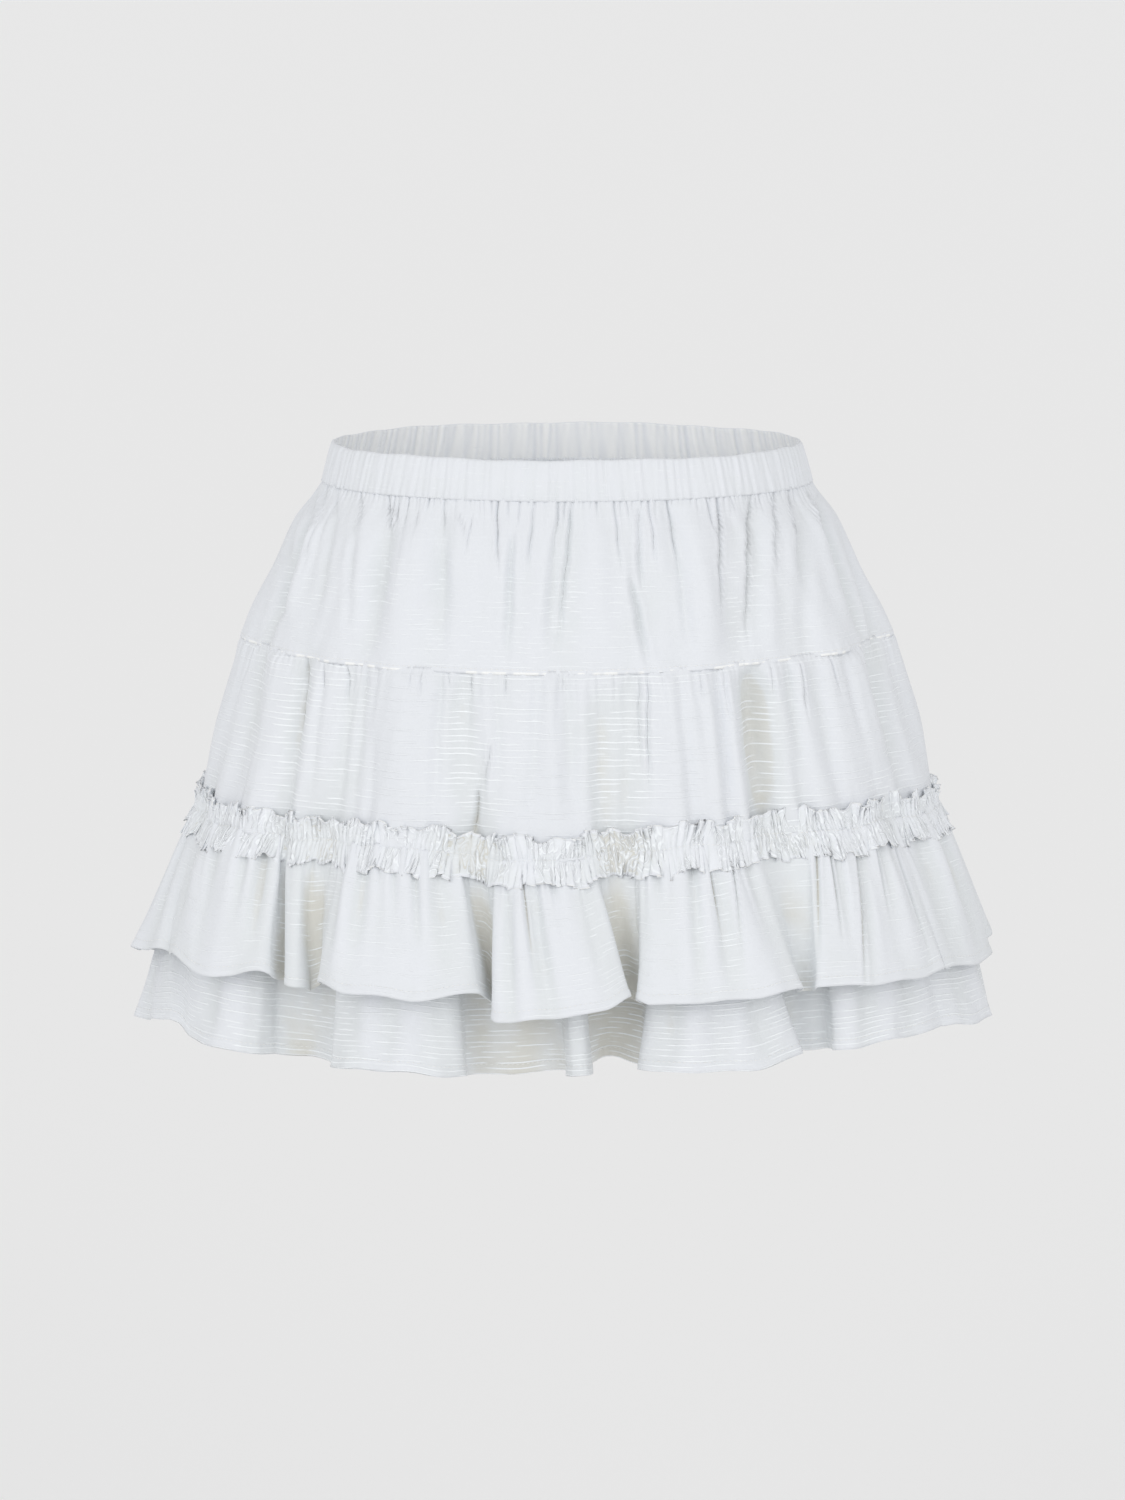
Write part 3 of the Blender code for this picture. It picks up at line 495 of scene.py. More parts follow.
class SKIRT_PG_cloth(bpy.types.PropertyGroup):
    """Sizes and colours of the cloth"""

    cloth_colour: colour_setting("Cloth", "Colour of the cotton", (0.785, 0.806, 0.842))
    # Painted shade: the darker colour the cotton is painted in its shallow folds.
    shaded_colour: colour_setting(
        "Shallow folds", "Painted shade of the cotton in its shallow folds", (0.752, 0.778, 0.797)
    )
    # Painted shade: the warmer, darker colour the cotton is painted deep in its folds.
    hollow_colour: colour_setting(
        "Hollow shade", "Painted shade of the cotton deep in its folds", (0.69, 0.685, 0.64)
    )
    slub_colour: colour_setting(
        "Slubs", "Colour of the raised slub threads", (0.92, 0.95, 0.972)
    )
    # Painted light: the lighter colour painted on the ruffles' edges and the band's inside.
    edge_colour: colour_setting(
        "Edges", "Painted light on the ruffles' edges and on the band's inside", (0.94, 0.945, 0.938)
    )
    thread_colour: colour_setting("Thread", "Colour of the sewing thread", (0.88, 0.88, 0.87))
    wall: length_setting("Wall", "Thickness of the cloth", 0.0008)
    hem: length_setting("Hem", "Depth of the turned hem", 0.006)
    slub_spacing: length_setting("Slub spacing", "Distance between two slub threads", 0.0033)
    slub_length: length_setting("Slub length", "Usual length of a slub", 0.022)
    thread_spacing: length_setting("Weave", "Distance between two threads of the weave", 0.0006)


class SKIRT_PG_sewing(bpy.types.PropertyGroup):
    """Sizes of the stitches"""

    stitch_pitch: length_setting("Pitch", "Distance from one stitch to the next", 0.0031)
    stitch_length: length_setting("Length", "Length of a stitch", 0.0023)
    stitch_thickness: length_setting("Thickness", "Thickness of the thread", 0.00045)


class SKIRT_PG_stage(bpy.types.PropertyGroup):
    """Colours and lights of the stage"""

    floor_colour: colour_setting("Floor", "Colour of the floor", (0.75, 0.75, 0.75))
    floor_glow: strength_setting("Floor glow", "Strength of the floor's own soft light", 0.18)
    air_colour: colour_setting(
        "Surroundings", "Colour of the light from all round", (1.0, 1.0, 1.0)
    )
    air_strength: strength_setting("Air strength", "Strength of the light from all round", 0.70)
    key_strength: strength_setting(
        "Key light", "Strength of the soft light from the left front", 0.62
    )
    fill_strength: strength_setting(
        "Fill light", "Strength of the soft light from the right front", 0.57
    )


def curve_through(x, knots, values):
    """A smooth curve through the values at rising knots, level past both ends.

    It never swings past its knots: it is level at each high and low one.
    """
    knots = np.asarray(knots, float)
    values = np.asarray(values, float)
    rises = np.diff(values) / np.diff(knots)
    before, after = rises[:-1], rises[1:]
    is_passing = before * after > 0
    inner = np.zeros(len(before))
    inner[is_passing] = 2 / (1 / before[is_passing] + 1 / after[is_passing])
    slopes = np.concatenate((rises[:1], inner, rises[-1:]))
    x = np.clip(x, knots[0], knots[-1])
    i = np.clip(np.searchsorted(knots, x) - 1, 0, len(knots) - 2)
    step = knots[i + 1] - knots[i]
    t = (x - knots[i]) / step
    return (
        (1 + 2 * t) * (1 - t) ** 2 * values[i]
        + t * (1 - t) ** 2 * step * slopes[i]
        + t**2 * (3 - 2 * t) * values[i + 1]
        + t**2 * (t - 1) * step * slopes[i + 1]
    )


def smooth_step(t):
    """0 below 0, 1 above 1, and a soft S between them."""
    t = np.clip(t, 0.0, 1.0)
    return t * t * (3 - 2 * t)


def wrap(angle, start):
    """The same angle, in the round of 360 degrees that begins at start."""
    return (np.asarray(angle) - start) % 360.0 + start


def ring_sizes(height):
    """The oval's half width and half depth at a height."""
    heights, *sizes = zip(*reversed(BODY_RINGS))
    return [curve_through(height, heights, size) for size in sizes]


def flounce_oval(share):
    """The half width and half depth of the flounces' oval, a share of the way down."""
    return [top + share * (hem - top) for top, hem in zip(SEAM_RING[1:], HEM_RING[1:])]


def place(angle, out, half_width, half_depth, height):
    """Points in metres: on an oval at an angle, moved out square to it."""
    turn = np.radians(angle)
    across, along = np.sin(turn), -np.cos(turn)
    reach = np.hypot(half_depth * across, half_width * along)
    x = half_width * across + out * half_depth * across / reach
    y = half_depth * along + out * half_width * along / reach
    return np.stack(np.broadcast_arrays(x, y, height), axis=-1) * MM


def arc_length(angle, half_width, half_depth):
    """Distance round an oval from an angle of -180, in millimetres."""
    fine = np.linspace(-180.0, 300.0, FINE_STEPS_PER_ARC)
    turn = np.radians(fine)
    pace = np.hypot(half_width * np.cos(turn), half_depth * np.sin(turn))
    step = np.radians(fine[1] - fine[0])
    length = np.concatenate(([0.0], np.cumsum((pace[1:] + pace[:-1]) / 2 * step)))
    return np.interp(angle, fine, length)


def value_round(angle, dips):
    """A cross seam's height, or another value that changes round the skirt."""
    return curve_through(wrap(angle, PANEL_ENDS["front"][0]), *zip(*dips))


def seam_swell(angle):
    """How far the flounce seam stands out of its oval at an angle."""
    knots, values = [PANEL_ENDS["front"][0]], [-SEAM_SWELL]
    for side in SIDES:
        flutes = FLUTES["upper", side]
        for flute, following in zip(flutes, flutes[1:] + (None,)):
            width = flute.top_right - flute.top_left
            edge = SWELL_EDGE_SHARE * width
            valley_angle = PANEL_ENDS[side][1]
            if following:
                valley_angle = (flute.top_right + following.top_left) / 2
            knots += [flute.top_left + edge, flute.top_right - edge, valley_angle]
            rise = 2 * SEAM_SWELL * min(1.0, width / FULL_SWELL_ANGLE) - SEAM_SWELL
            values += [rise, rise, -SEAM_SWELL]
    knots, values = np.array(knots), np.array(values)
    angle = wrap(angle, knots[0])
    spans = np.clip(np.searchsorted(knots, angle) - 1, 0, len(knots) - 2)
    share = smooth_step((angle - knots[spans]) / (knots[spans + 1] - knots[spans]))
    return values[spans] + share * (values[spans + 1] - values[spans])


def fold_relief(angle, height, folds):
    """How far the cloth stands out of its oval, from a table of folds."""
    out = np.zeros(np.broadcast(angle, height).shape)
    for fold in folds:
        down = (fold.top - height) / (fold.top - fold.foot)
        centre = fold.top_angle + np.clip(down, 0, 1) * (fold.foot_angle - fold.top_angle)
        aside = wrap(angle - centre, -180.0)
        across = np.cos(np.clip(aside / fold.half_angle, -1, 1) * np.pi / 2) ** 2
        out = out + fold.out * across * smooth_step(down / 0.25) * smooth_step((1 - down) / 0.3)
    return out


def crease_relief(angle, height, creases):
    """Creases: a trough between two low swellings, or the same turned out.

    Seen square from the front or the back, a crease runs straight.
    """
    out = np.zeros(np.broadcast(angle, height).shape)
    half_width = ring_sizes(height)[0]
    for crease in creases:
        down = (crease.top - height) / (crease.top - crease.foot)
        middle = 180.0 if crease.top_angle > 90 else 0.0
        at_top = ring_sizes(crease.top)[0] * np.sin(np.radians(crease.top_angle - middle))
        at_foot = ring_sizes(crease.foot)[0] * np.sin(np.radians(crease.foot_angle - middle))
        aside = at_top + np.clip(down, 0, 1) * (at_foot - at_top)
        long_wave, short_wave = (height / length for length in WAVER_LENGTHS)
        waver = np.sin(long_wave + crease.top_angle) + np.sin(short_wave + crease.foot_angle)
        across = np.clip((aside + WAVER * waver) / half_width, -OUTLINE_SHARE, OUTLINE_SHARE)
        centre = middle + np.degrees(np.arcsin(across))
        aside = wrap(angle - centre, -180.0)
        fade = smooth_step(down / 0.16) * smooth_step((1 - down) / 0.45)
        out = out - crease.out * trough(aside / (TROUGH_SCALE * crease.width)) * fade
    return out


def trough(x):
    """A narrow trough, 1 deep, between two low swellings."""
    swellings = np.exp(-((x - 1.9) ** 2)) + np.exp(-((x + 1.9) ** 2))
    return 0.3 * swellings - np.exp(-(x * x))


def small_gathers(gathers, span, more_seed):
    """The single pleats of a run of gathers: most are short, a few long."""
    random = np.random.default_rng(gathers.seed + more_seed)
    count = round(span / gathers.spacing)
    places = (np.arange(count) + 0.5 + random.uniform(-0.36, 0.36, count)) * span / count
    longness = random.random(count) ** 2.4
    boldness = np.clip(0.35 * longness + 0.65 * random.random(count), 0, 1)
    lengths = np.interp(longness, (0, 1), gathers.length)
    widths = np.interp(random.random(count), (0, 1), gathers.width)
    depths = np.interp(boldness, (0, 1), gathers.depth)
    leans = random.uniform(-gathers.lean, gathers.lean, count)
    return [Pleat(*row) for row in zip(places, lengths, widths, depths, leans)]


def gather_relief(across, down, gathers, span, more_seed=0, is_closed=False):
    """Relief of small gathers: deepest at their seam, gone at their length.

    A closed run ends where it begins, all the way round.
    """
    relief = np.zeros(np.broadcast(across, down).shape)
    down = np.broadcast_to(down, relief.shape)
    across = np.broadcast_to(across, relief.shape)
    for pleat in small_gathers(gathers, span, more_seed):
        aside = across - pleat.place
        if is_closed:
            aside = (aside + span / 2) % span - span / 2
        reach = 6 * pleat.width + abs(pleat.lean) * pleat.length
        near = (np.abs(aside) < reach) & (np.abs(down) < pleat.length)
        gone = np.abs(down[near]) / pleat.length
        width = pleat.width * (1 + 0.8 * gone)
        x = (aside[near] - pleat.lean * down[near]) / width
        relief[near] += pleat.depth * trough(x) * (1 - gone) ** 1.4
    return relief


def soft_swell(across, down, swell, seed):
    """Slow uneven swelling of loose cloth, from waves in many directions."""
    random = np.random.default_rng(seed)
    relief = np.zeros(np.broadcast(across, down).shape)
    for _ in range(swell.count):
        wavelength = np.exp(random.uniform(np.log(swell.shortest), np.log(swell.longest)))
        heading = random.uniform(-0.45, 0.45)
        phase = random.uniform(0, 2 * np.pi)
        run = np.cos(heading) * across + 0.5 * np.sin(heading) * down
        relief += np.cos(2 * np.pi * run / wavelength + phase)
    return relief * swell.height / np.sqrt(swell.count / 2)


def round_noise(angle, orders, random):
    """A smooth uneven value round the skirt, about 1 high, that closes on itself."""
    total = np.zeros_like(angle)
    for order in orders:
        total = total + np.sin(order * np.radians(angle) + random.uniform(0, 2 * np.pi))
    return total / np.sqrt(len(orders) / 2)


def edge_roll(distance, depth, reach):
    """Cloth that rolls in towards a seam or an edge."""
    return -depth * np.exp(-((distance / reach) ** 2))


def side_seam_roll(across):
    """Both ends of a panel roll in a little, to its side seams."""
    from_left, from_right = across - across[0], across[-1] - across
    return edge_roll(from_left, *SIDE_ROLL) + edge_roll(from_right, *SIDE_ROLL)


def body_out(angle, height):
    """The solids' own form: the large folds, and the swell of the flounce seam."""
    seam = value_round(angle, FLOUNCE_SEAM)
    blend = smooth_step((SWELL_STARTS - height) / (SWELL_STARTS - seam))
    return (1 - blend) * fold_relief(angle, height, FOLDS) + blend * seam_swell(angle)


def row_shares(rows):
    """Shares from top to foot, with the rows closer together near both ends."""
    even = np.linspace(0, 1, rows + 1)
    return (even - END_ROWS * np.sin(2 * np.pi * even) / (2 * np.pi))[None, :]


def panel_angles(side, columns):
    """Even angles over a panel, from side seam to side seam."""
    return np.linspace(*PANEL_ENDS[side], columns + 1)[:, None]


def yoke_cloth(side):
    """The yoke: it hangs from the band, gathered, and laps over the tier."""
    angle = panel_angles(side, YOKE_GRID.columns)
    top = BAND_FOOT + YOKE_TUCK
    foot = value_round(angle, YOKE_SEAM) - YOKE_LAP
    height = top + row_shares(YOKE_GRID.rows) * (foot - top)
    middle = sum(PANEL_ENDS[side]) / 2
    band_sizes = ring_sizes(BAND_FOOT)
    spread = ring_sizes(height)[0] / band_sizes[0] - 1
    # Gathers hang plumb near the middle, and follow the body near the side seams.
    plumb = (angle - middle) * (1 + spread * np.cos(np.radians(angle - middle)))
    across = arc_length(middle + plumb, *band_sizes)
    cut_across = arc_length(angle, *ring_sizes(YOKE_CUT_HEIGHT))
    down, up = BAND_FOOT - height, height - foot
    below = np.maximum(down, 0)
    seed = SIDE_SEED[side]
    relief = crease_relief(angle, height, YOKE_CREASES)
    relief += gather_relief(across, below, YOKE_TOP, BAND_RUN, seed)
    relief += gather_relief(cut_across, up, YOKE_FOOT, SEAM_RUN, seed)
    relief += gather_relief(across, below, SEAM_PUCKERS, BAND_RUN, seed)
    swell = soft_swell(cut_across, down, BODY_SWELL, YOKE_SEED + seed)
    relief += swell * smooth_step(down / FULL_SWELL_DOWN["yoke"])
    relief += soft_swell(cut_across, down, BODY_DENTS, YOKE_SEED + 1 + seed)
    out = body_out(angle, height) + relief
    out += edge_roll(up, *YOKE_LAP_ROLL) + YOKE_LAP_STEP * smooth_step((7 - up) / 4)
    out += side_seam_roll(cut_across)
    out -= YOKE_DIP_UNDER_BAND * smooth_step((2.0 - down) / 3.0)
    # The tone: painted shade in the yoke's creases, gathers and folds.
    tone = relief + YOKE_FORM_TONE * fold_relief(angle, height, FOLDS)
    # A broken line of painted shade lies under the yoke's lap.
    random = np.random.default_rng(YOKE_EDGE_SEED + seed)
    broken = smooth_step(0.5 + 0.8 * round_noise(angle[:, 0], (9, 17, 31, 74, 133), random))
    tone[:, -2:] = FULL_HOLLOW * (0.78 + 0.22 * broken)[:, None]
    return place(angle, out, *ring_sizes(height), height), cut_across, down, tone


def tier_cloth(side):
    """The middle tier: gathered into the yoke's foot and at the flounce seam."""
    angle = panel_angles(side, TIER_GRID.columns)
    top = value_round(angle, YOKE_SEAM) + TIER_TUCK
    foot = value_round(angle, FLOUNCE_SEAM) - TIER_TUCK
    height = top + row_shares(TIER_GRID.rows) * (foot - top)
    across = arc_length(angle, *ring_sizes(YOKE_CUT_HEIGHT))
    cut_across = arc_length(angle, *ring_sizes(TIER_CUT_HEIGHT))
    down, up = top - height, height - foot
    seed = SIDE_SEED[side]
    relief = crease_relief(angle, height, TIER_CREASES)
    relief += gather_relief(across, down, TIER_TOP, SEAM_RUN, seed)
    relief *= 0.3 + 0.7 * smooth_step(down / 7)
    relief += gather_relief(cut_across, up, TIER_FOOT, TRIM_RUN, seed)
    relief += gather_relief(across, down - 2, SEAM_PUCKERS, SEAM_RUN, seed + SECOND_RUN)
    swell = soft_swell(cut_across, down, BODY_SWELL, TIER_SEED + seed)
    relief += swell * smooth_step(down / FULL_SWELL_DOWN["tier"])
    relief += soft_swell(cut_across, down, BODY_DENTS, TIER_SEED + 1 + seed)
    form = body_out(angle, height)
    out = form + relief
    puff = TIER_PUFF * smooth_step((down - 2.4) / 2.0) * smooth_step((16 - down) / 12)
    out += puff - TIER_SET_BACK
    out += side_seam_roll(cut_across)
    # The tone: painted shade in the tier's creases, gathers and folds, allowed deepest near its foot.
    deepest = FULL_HOLLOW * (0.68 + 0.32 * smooth_step((34 - up) / 26))
    tone = np.maximum(relief + TIER_FORM_TONE * form, -deepest)
    return place(angle, out, *ring_sizes(height), height), cut_across, down, tone


def mirror_ends(values, is_angle):
    """One more knot past each side seam, so that the cloth meets it squarely."""
    if is_angle:
        return [2 * values[0] - values[1], *values, 2 * values[-1] - values[-2]]
    return [values[1], *values, values[-2]]


def knots_across(left, right, before, after, valley):
    """A flute's knots: left wall, the edges, shoulders and middle of its face, and on."""
    shoulder = SHOULDER_SHARE * (right - left)
    face = [left, left + shoulder, left + 0.5 * (right - left), right - shoulder, right]
    return [left + before, *face, right + after, valley]


def wall_knots(valley, crest):
    """How far out a flute's wall stands at each of its knots, from valley to crest."""
    return [valley + depth * (crest - valley) for depth in WALL_DEPTHS]


def flute_knots(layer, side):
    """Angle at the seam, angle at the hem and distance out, knot by knot."""
    flutes = FLUTES[layer, side]
    start, end = PANEL_ENDS[side]
    top = [start, start + FLAT_AT_SIDE_SEAM]
    hem = list(top)
    out = [SIDE_VALLEY[layer]] * 2
    for flute, following in zip(flutes, flutes[1:] + (None,)):
        next_top = next_hem = end - FLAT_AT_SIDE_SEAM
        if following:
            next_top = (flute.top_right + following.top_left) / 2
            next_hem = (flute.hem_right + following.hem_left) / 2
        before = -TOP_WALL_SHARE * (flute.top_left - top[-1])
        after = TOP_WALL_SHARE * (next_top - flute.top_right)
        widest_tuck = WIDEST_TUCK_SHARE * (flute.hem_right - flute.hem_left)
        tucks = min(flute.left_tuck, widest_tuck), -min(flute.right_tuck, widest_tuck)
        top += knots_across(flute.top_left, flute.top_right, before, after, next_top)
        hem += knots_across(flute.hem_left, flute.hem_right, *tucks, next_hem)
        out += [*wall_knots(out[-1], flute.crest), flute.crest]
        out += [*reversed(wall_knots(flute.valley, flute.crest)), flute.valley]
    top, hem, out = top + [end], hem + [end], out + [SIDE_VALLEY[layer]]
    return mirror_ends(top, True), mirror_ends(hem, True), mirror_ends(out, False)


def flounce_paths(layer, side, along):
    """The flounce's angle at the seam, angle at the hem and distance out."""
    return [
        curve_through(along, np.arange(len(values)), values) for values in flute_knots(layer, side)
    ]


def last_knot(layer, side):
    """The knot at a flounce's right side seam; the left one is knot 1."""
    return len(FLUTES[layer, side]) * KNOTS_PER_FLUTE + 3


def even_steps(layer, side, columns):
    """Places along a flounce's knots that cut its hem into even lengths."""
    along = np.linspace(1, last_knot(layer, side), FINE_STEPS_PER_PANEL)
    _, hem_angle, out = flounce_paths(layer, side, along)
    hem = place(hem_angle, out, *HEM_RING[1:], 0.0)
    length = np.concatenate(([0.0], np.cumsum(np.linalg.norm(np.diff(hem, axis=0), axis=1))))
    even = np.linspace(0, length[-1], columns + 1)
    return np.interp(even, length, along)[:, None], even[:, None] / MM


def flounce_form(layer, side, along, share):
    """The solids' own form of a flounce: lines of one cut length down to the hem."""
    top_angle, hem_angle, hem_out = flounce_paths(layer, side, along)
    length = FLOUNCE_LENGTH[layer]
    top_out = seam_swell(top_angle) - (LOWER_STEP_IN if layer == "lower" else 0.0)
    top_height = value_round(top_angle, FLOUNCE_SEAM)
    top_point = place(top_angle, top_out, *SEAM_RING[1:], 0.0)
    hem_point = place(hem_angle, hem_out, *HEM_RING[1:], 0.0)
    sideways = np.linalg.norm(hem_point - top_point, axis=-1) / MM
    drop = np.sqrt(np.maximum(length**2 - sideways**2, (LEAST_DROP_SHARE * length) ** 2))
    drop += (HEM_FOLLOWS_SEAM[layer] - 1) * (SEAM_RING.height - top_height)
    drop -= value_round(hem_angle, UPPER_HEM_LIFT if layer == "upper" else LOWER_HEM_LIFT)
    angle = top_angle + share * (hem_angle - top_angle)
    out = top_out + share**FLARE_POWER * (hem_out - top_out)
    points = place(angle, out, *flounce_oval(share), top_height - share * drop)
    return points, top_angle, hem_out


def outward(points):
    """Unit normals of a grid of points, pointing out of the cloth's right side."""
    normals = np.cross(np.gradient(points, axis=1), np.gradient(points, axis=0))
    return normals / np.maximum(np.linalg.norm(normals, axis=-1, keepdims=True), 1e-12)


def shift(points, relief):
    """The points moved out of the cloth by a relief in millimetres."""
    return points + outward(points) * relief[..., None] * MM


def lobe_relief(layer, side, along, share):
    """The listed creases down each lobe, and the sharp ones among them."""
    relief = np.zeros(np.broadcast(along, share).shape)
    sharp = np.zeros_like(relief)
    steps, hem_across = (values[:, 0] for values in even_steps(layer, side, FINE_STEPS_PER_HEM))
    here = np.interp(along, steps, hem_across)
    for crease in LOBE_CREASES[layer, side]:
        left_edge = crease.lobe * KNOTS_PER_FLUTE + LEFT_EDGE_KNOT
        face = crease.top_share + np.clip(share, 0, 1) * (crease.hem_share - crease.top_share)
        centre = np.interp(left_edge + FACE_KNOTS * face, steps, hem_across)
        down = (share - crease.start) / (crease.end - crease.start)
        if crease.start:
            fade = smooth_step((down + 0.02) / 0.2) * smooth_step((1 - down) / 0.6)
        else:
            fade = smooth_step((1 - down) / 0.7)
        form = -crease.depth * trough((here - centre) / (TROUGH_SCALE * crease.width)) * fade
        relief += form
        if crease.width < SHARP_WIDTH:
            sharp += np.minimum(form, 0)
    return relief, sharp


def flounce_cloth(layer, side):
    """A flounce: gathered at its seam, creased down its lobes, hemmed at its foot."""
    along, cut_across = even_steps(layer, side, FLOUNCE_GRID[layer].columns)
    share = row_shares(FLOUNCE_GRID[layer].rows)
    points, top_angle, hem_out = flounce_form(layer, side, along, share)
    down = share * FLOUNCE_LENGTH[layer]
    up = FLOUNCE_LENGTH[layer] - down
    seed = SIDE_SEED[side]
    # The gathers are stronger where the seam is more crowded with cloth.
    seam_step = np.gradient(arc_length(top_angle[:, 0], *SEAM_RING[1:]))
    crowding = np.clip(seam_step / np.gradient(cut_across[:, 0]) / 0.55, 0.25, 1.1)[:, None]
    gathers = gather_relief(cut_across, down, FLOUNCE_TOP[layer], SEAM_RUN, seed)
    relief = gathers * (crowding + (1 - crowding) * smooth_step(down / 60))
    lobes, sharp = lobe_relief(layer, side, along, share)
    relief += lobes
    swell = soft_swell(cut_across, down, FLOUNCE_SWELL, FLOUNCE_SEED + seed)
    relief += swell * smooth_step(down / FULL_SWELL_DOWN["flounce"])
    relief += soft_swell(cut_across, down, BODY_DENTS, FLOUNCE_SEED + 1 + seed)
    hem = bpy.context.scene.skirt_cloth.hem / MM
    relief += edge_roll(up - hem, *HEM_ROLL) + HEM_STEP * smooth_step((hem - up) / 1.5)
    near_hem = smooth_step((NEAR_HEM - up) / NEAR_HEM)
    relief += soft_swell(cut_across, down, HEM_SWELL, FLOUNCE_SEED + 2 + seed) * near_hem
    # Front and back meet in one line at the side seams.
    from_side = np.minimum(cut_across, cut_across[-1] - cut_across)
    near_side = smooth_step(from_side / NEAR_SIDE_SEAM)
    relief *= near_side
    if layer == "lower":
        relief += LOWER_FLOUNCE_TOP_OUT * smooth_step((7 - down) / 6)
    rise = soft_swell(cut_across, 0.0, HEM_RISE, FLOUNCE_SEED + 3 + seed) * near_hem * near_side
    points[..., 2] += rise * MM
    # The tone: painted shade deep in the valleys between the lobes, more of it further down, and in the
    # lobes' creases, most in the sharp ones.
    valley_shade = (hem_out - hem_out.max()) / np.ptp(hem_out) * FLOUNCE_HOLLOW
    valley_shade = valley_shade * smooth_step(0.3 + share / 0.7)
    tone = np.maximum(relief + LOBE_TONE * lobes, -0.5 * FULL_HOLLOW)
    tone = tone + SHARP_CREASE_TONE * sharp + valley_shade
    return shift(points, relief), cut_across, down, tone


def band_cloth():
    """The waistband: a doubled casing, gathered by its elastic, as a closed loop."""
    angle = np.linspace(-180.0, 180.0, BAND_GRID.columns + 1)[:, None]
    across = arc_length(angle, *ring_sizes(0.0))
    span = float(across[-1, 0] - across[0, 0])
    turn = np.linspace(0, 2 * np.pi, 2 * BAND_GRID.rows + 9)[None, :-1]
    # A flat loop with round ends: outer face down, foot, inner face up, top.
    flat = np.sign(np.cos(turn)) * np.abs(np.cos(turn)) ** 0.55
    up = np.sign(np.sin(turn)) * np.abs(np.sin(turn)) ** 0.8
    top = BAND_TOP - BAND_EDGE_ROOM
    height = (top + BAND_FOOT) / 2 + up * (top - BAND_FOOT) / 2
    from_foot, from_top = height - BAND_FOOT, BAND_TOP - height
    is_outer = flat > 0
    relief = gather_relief(across, from_foot, BAND_PLEATS, span, is_closed=True)
    relief += gather_relief(across, from_top, BAND_PLEATS, span, BAND_TOP_RUN, is_closed=True)
    relief += 0.35 * np.cos(2 * np.pi * BAND_RIBS * angle / 360) * np.ones_like(up)
    puff = 0.9 * np.sqrt(np.clip(1 - up**2, 0, 1))
    stitch_dip = edge_roll(from_foot - BAND_STITCHES_UP, *BAND_STITCH_DIP)
    face_out = BAND_HALF_WALL * 0.55 + puff + 0.75 * relief + stitch_dip
    out = np.where(is_outer, face_out, -(BAND_HALF_WALL * 0.45 + 0.6 * puff - 0.5 * relief))
    out = out * smooth_step(np.abs(flat) / 0.5)
    rise = 0.35 * np.sin(np.radians(7 * angle)) + 0.25 * np.sin(np.radians(23 * angle))
    points = place(angle, out, *ring_sizes(height), height + rise * smooth_step(from_foot / 24))
    # Painted shade in the outer face's pleats, and painted light all over the inner face.
    tone = np.where(is_outer, relief, FULL_HOLLOW - 1.0 + relief)
    return points, across, turn * (BAND_TOP - BAND_FOOT) / np.pi, tone


def flounce_out_at(angle, share):
    """How far out the upper flounce stands at an angle, a share of the way down."""
    angles, outs = [], []
    for side in SIDES:
        fine_steps = FINE_STEPS_PER_FLUTE * len(FLUTES["upper", side]) + 1
        along = np.linspace(1, last_knot("upper", side), fine_steps)
        top_angle, hem_angle, hem_out = flounce_paths("upper", side, along)
        swell = seam_swell(top_angle)
        angles.append((top_angle + share * (hem_angle - top_angle))[:-1])
        outs.append((swell + share**FLARE_POWER * (hem_out - swell))[:-1])
    turned = wrap(angle, PANEL_ENDS["front"][0])
    return np.interp(turned, np.concatenate(angles), np.concatenate(outs), period=360)


def ruffle_noise(angle, ruffle):
    """A free edge's own unevenness: wave phase and size, rise, sway and flop."""
    random = np.random.default_rng(ruffle.seed)
    phase = ruffle.waves * np.radians(angle)
    phase = phase + 2.2 * round_noise(angle, (5, 13, 29, 47, 67), random)
    size = np.clip(1 + 0.42 * round_noise(angle, (23, 37, 59), random), 0.25, 1.8)
    rise = round_noise(angle, (31, 53, 79, 113), random)
    sway = round_noise(angle, (9, 21, 35), random)
    flop = smooth_step(0.5 + 0.5 * round_noise(angle, (15, 27, 44, 63), random))
    return phase, size, rise, sway, flop


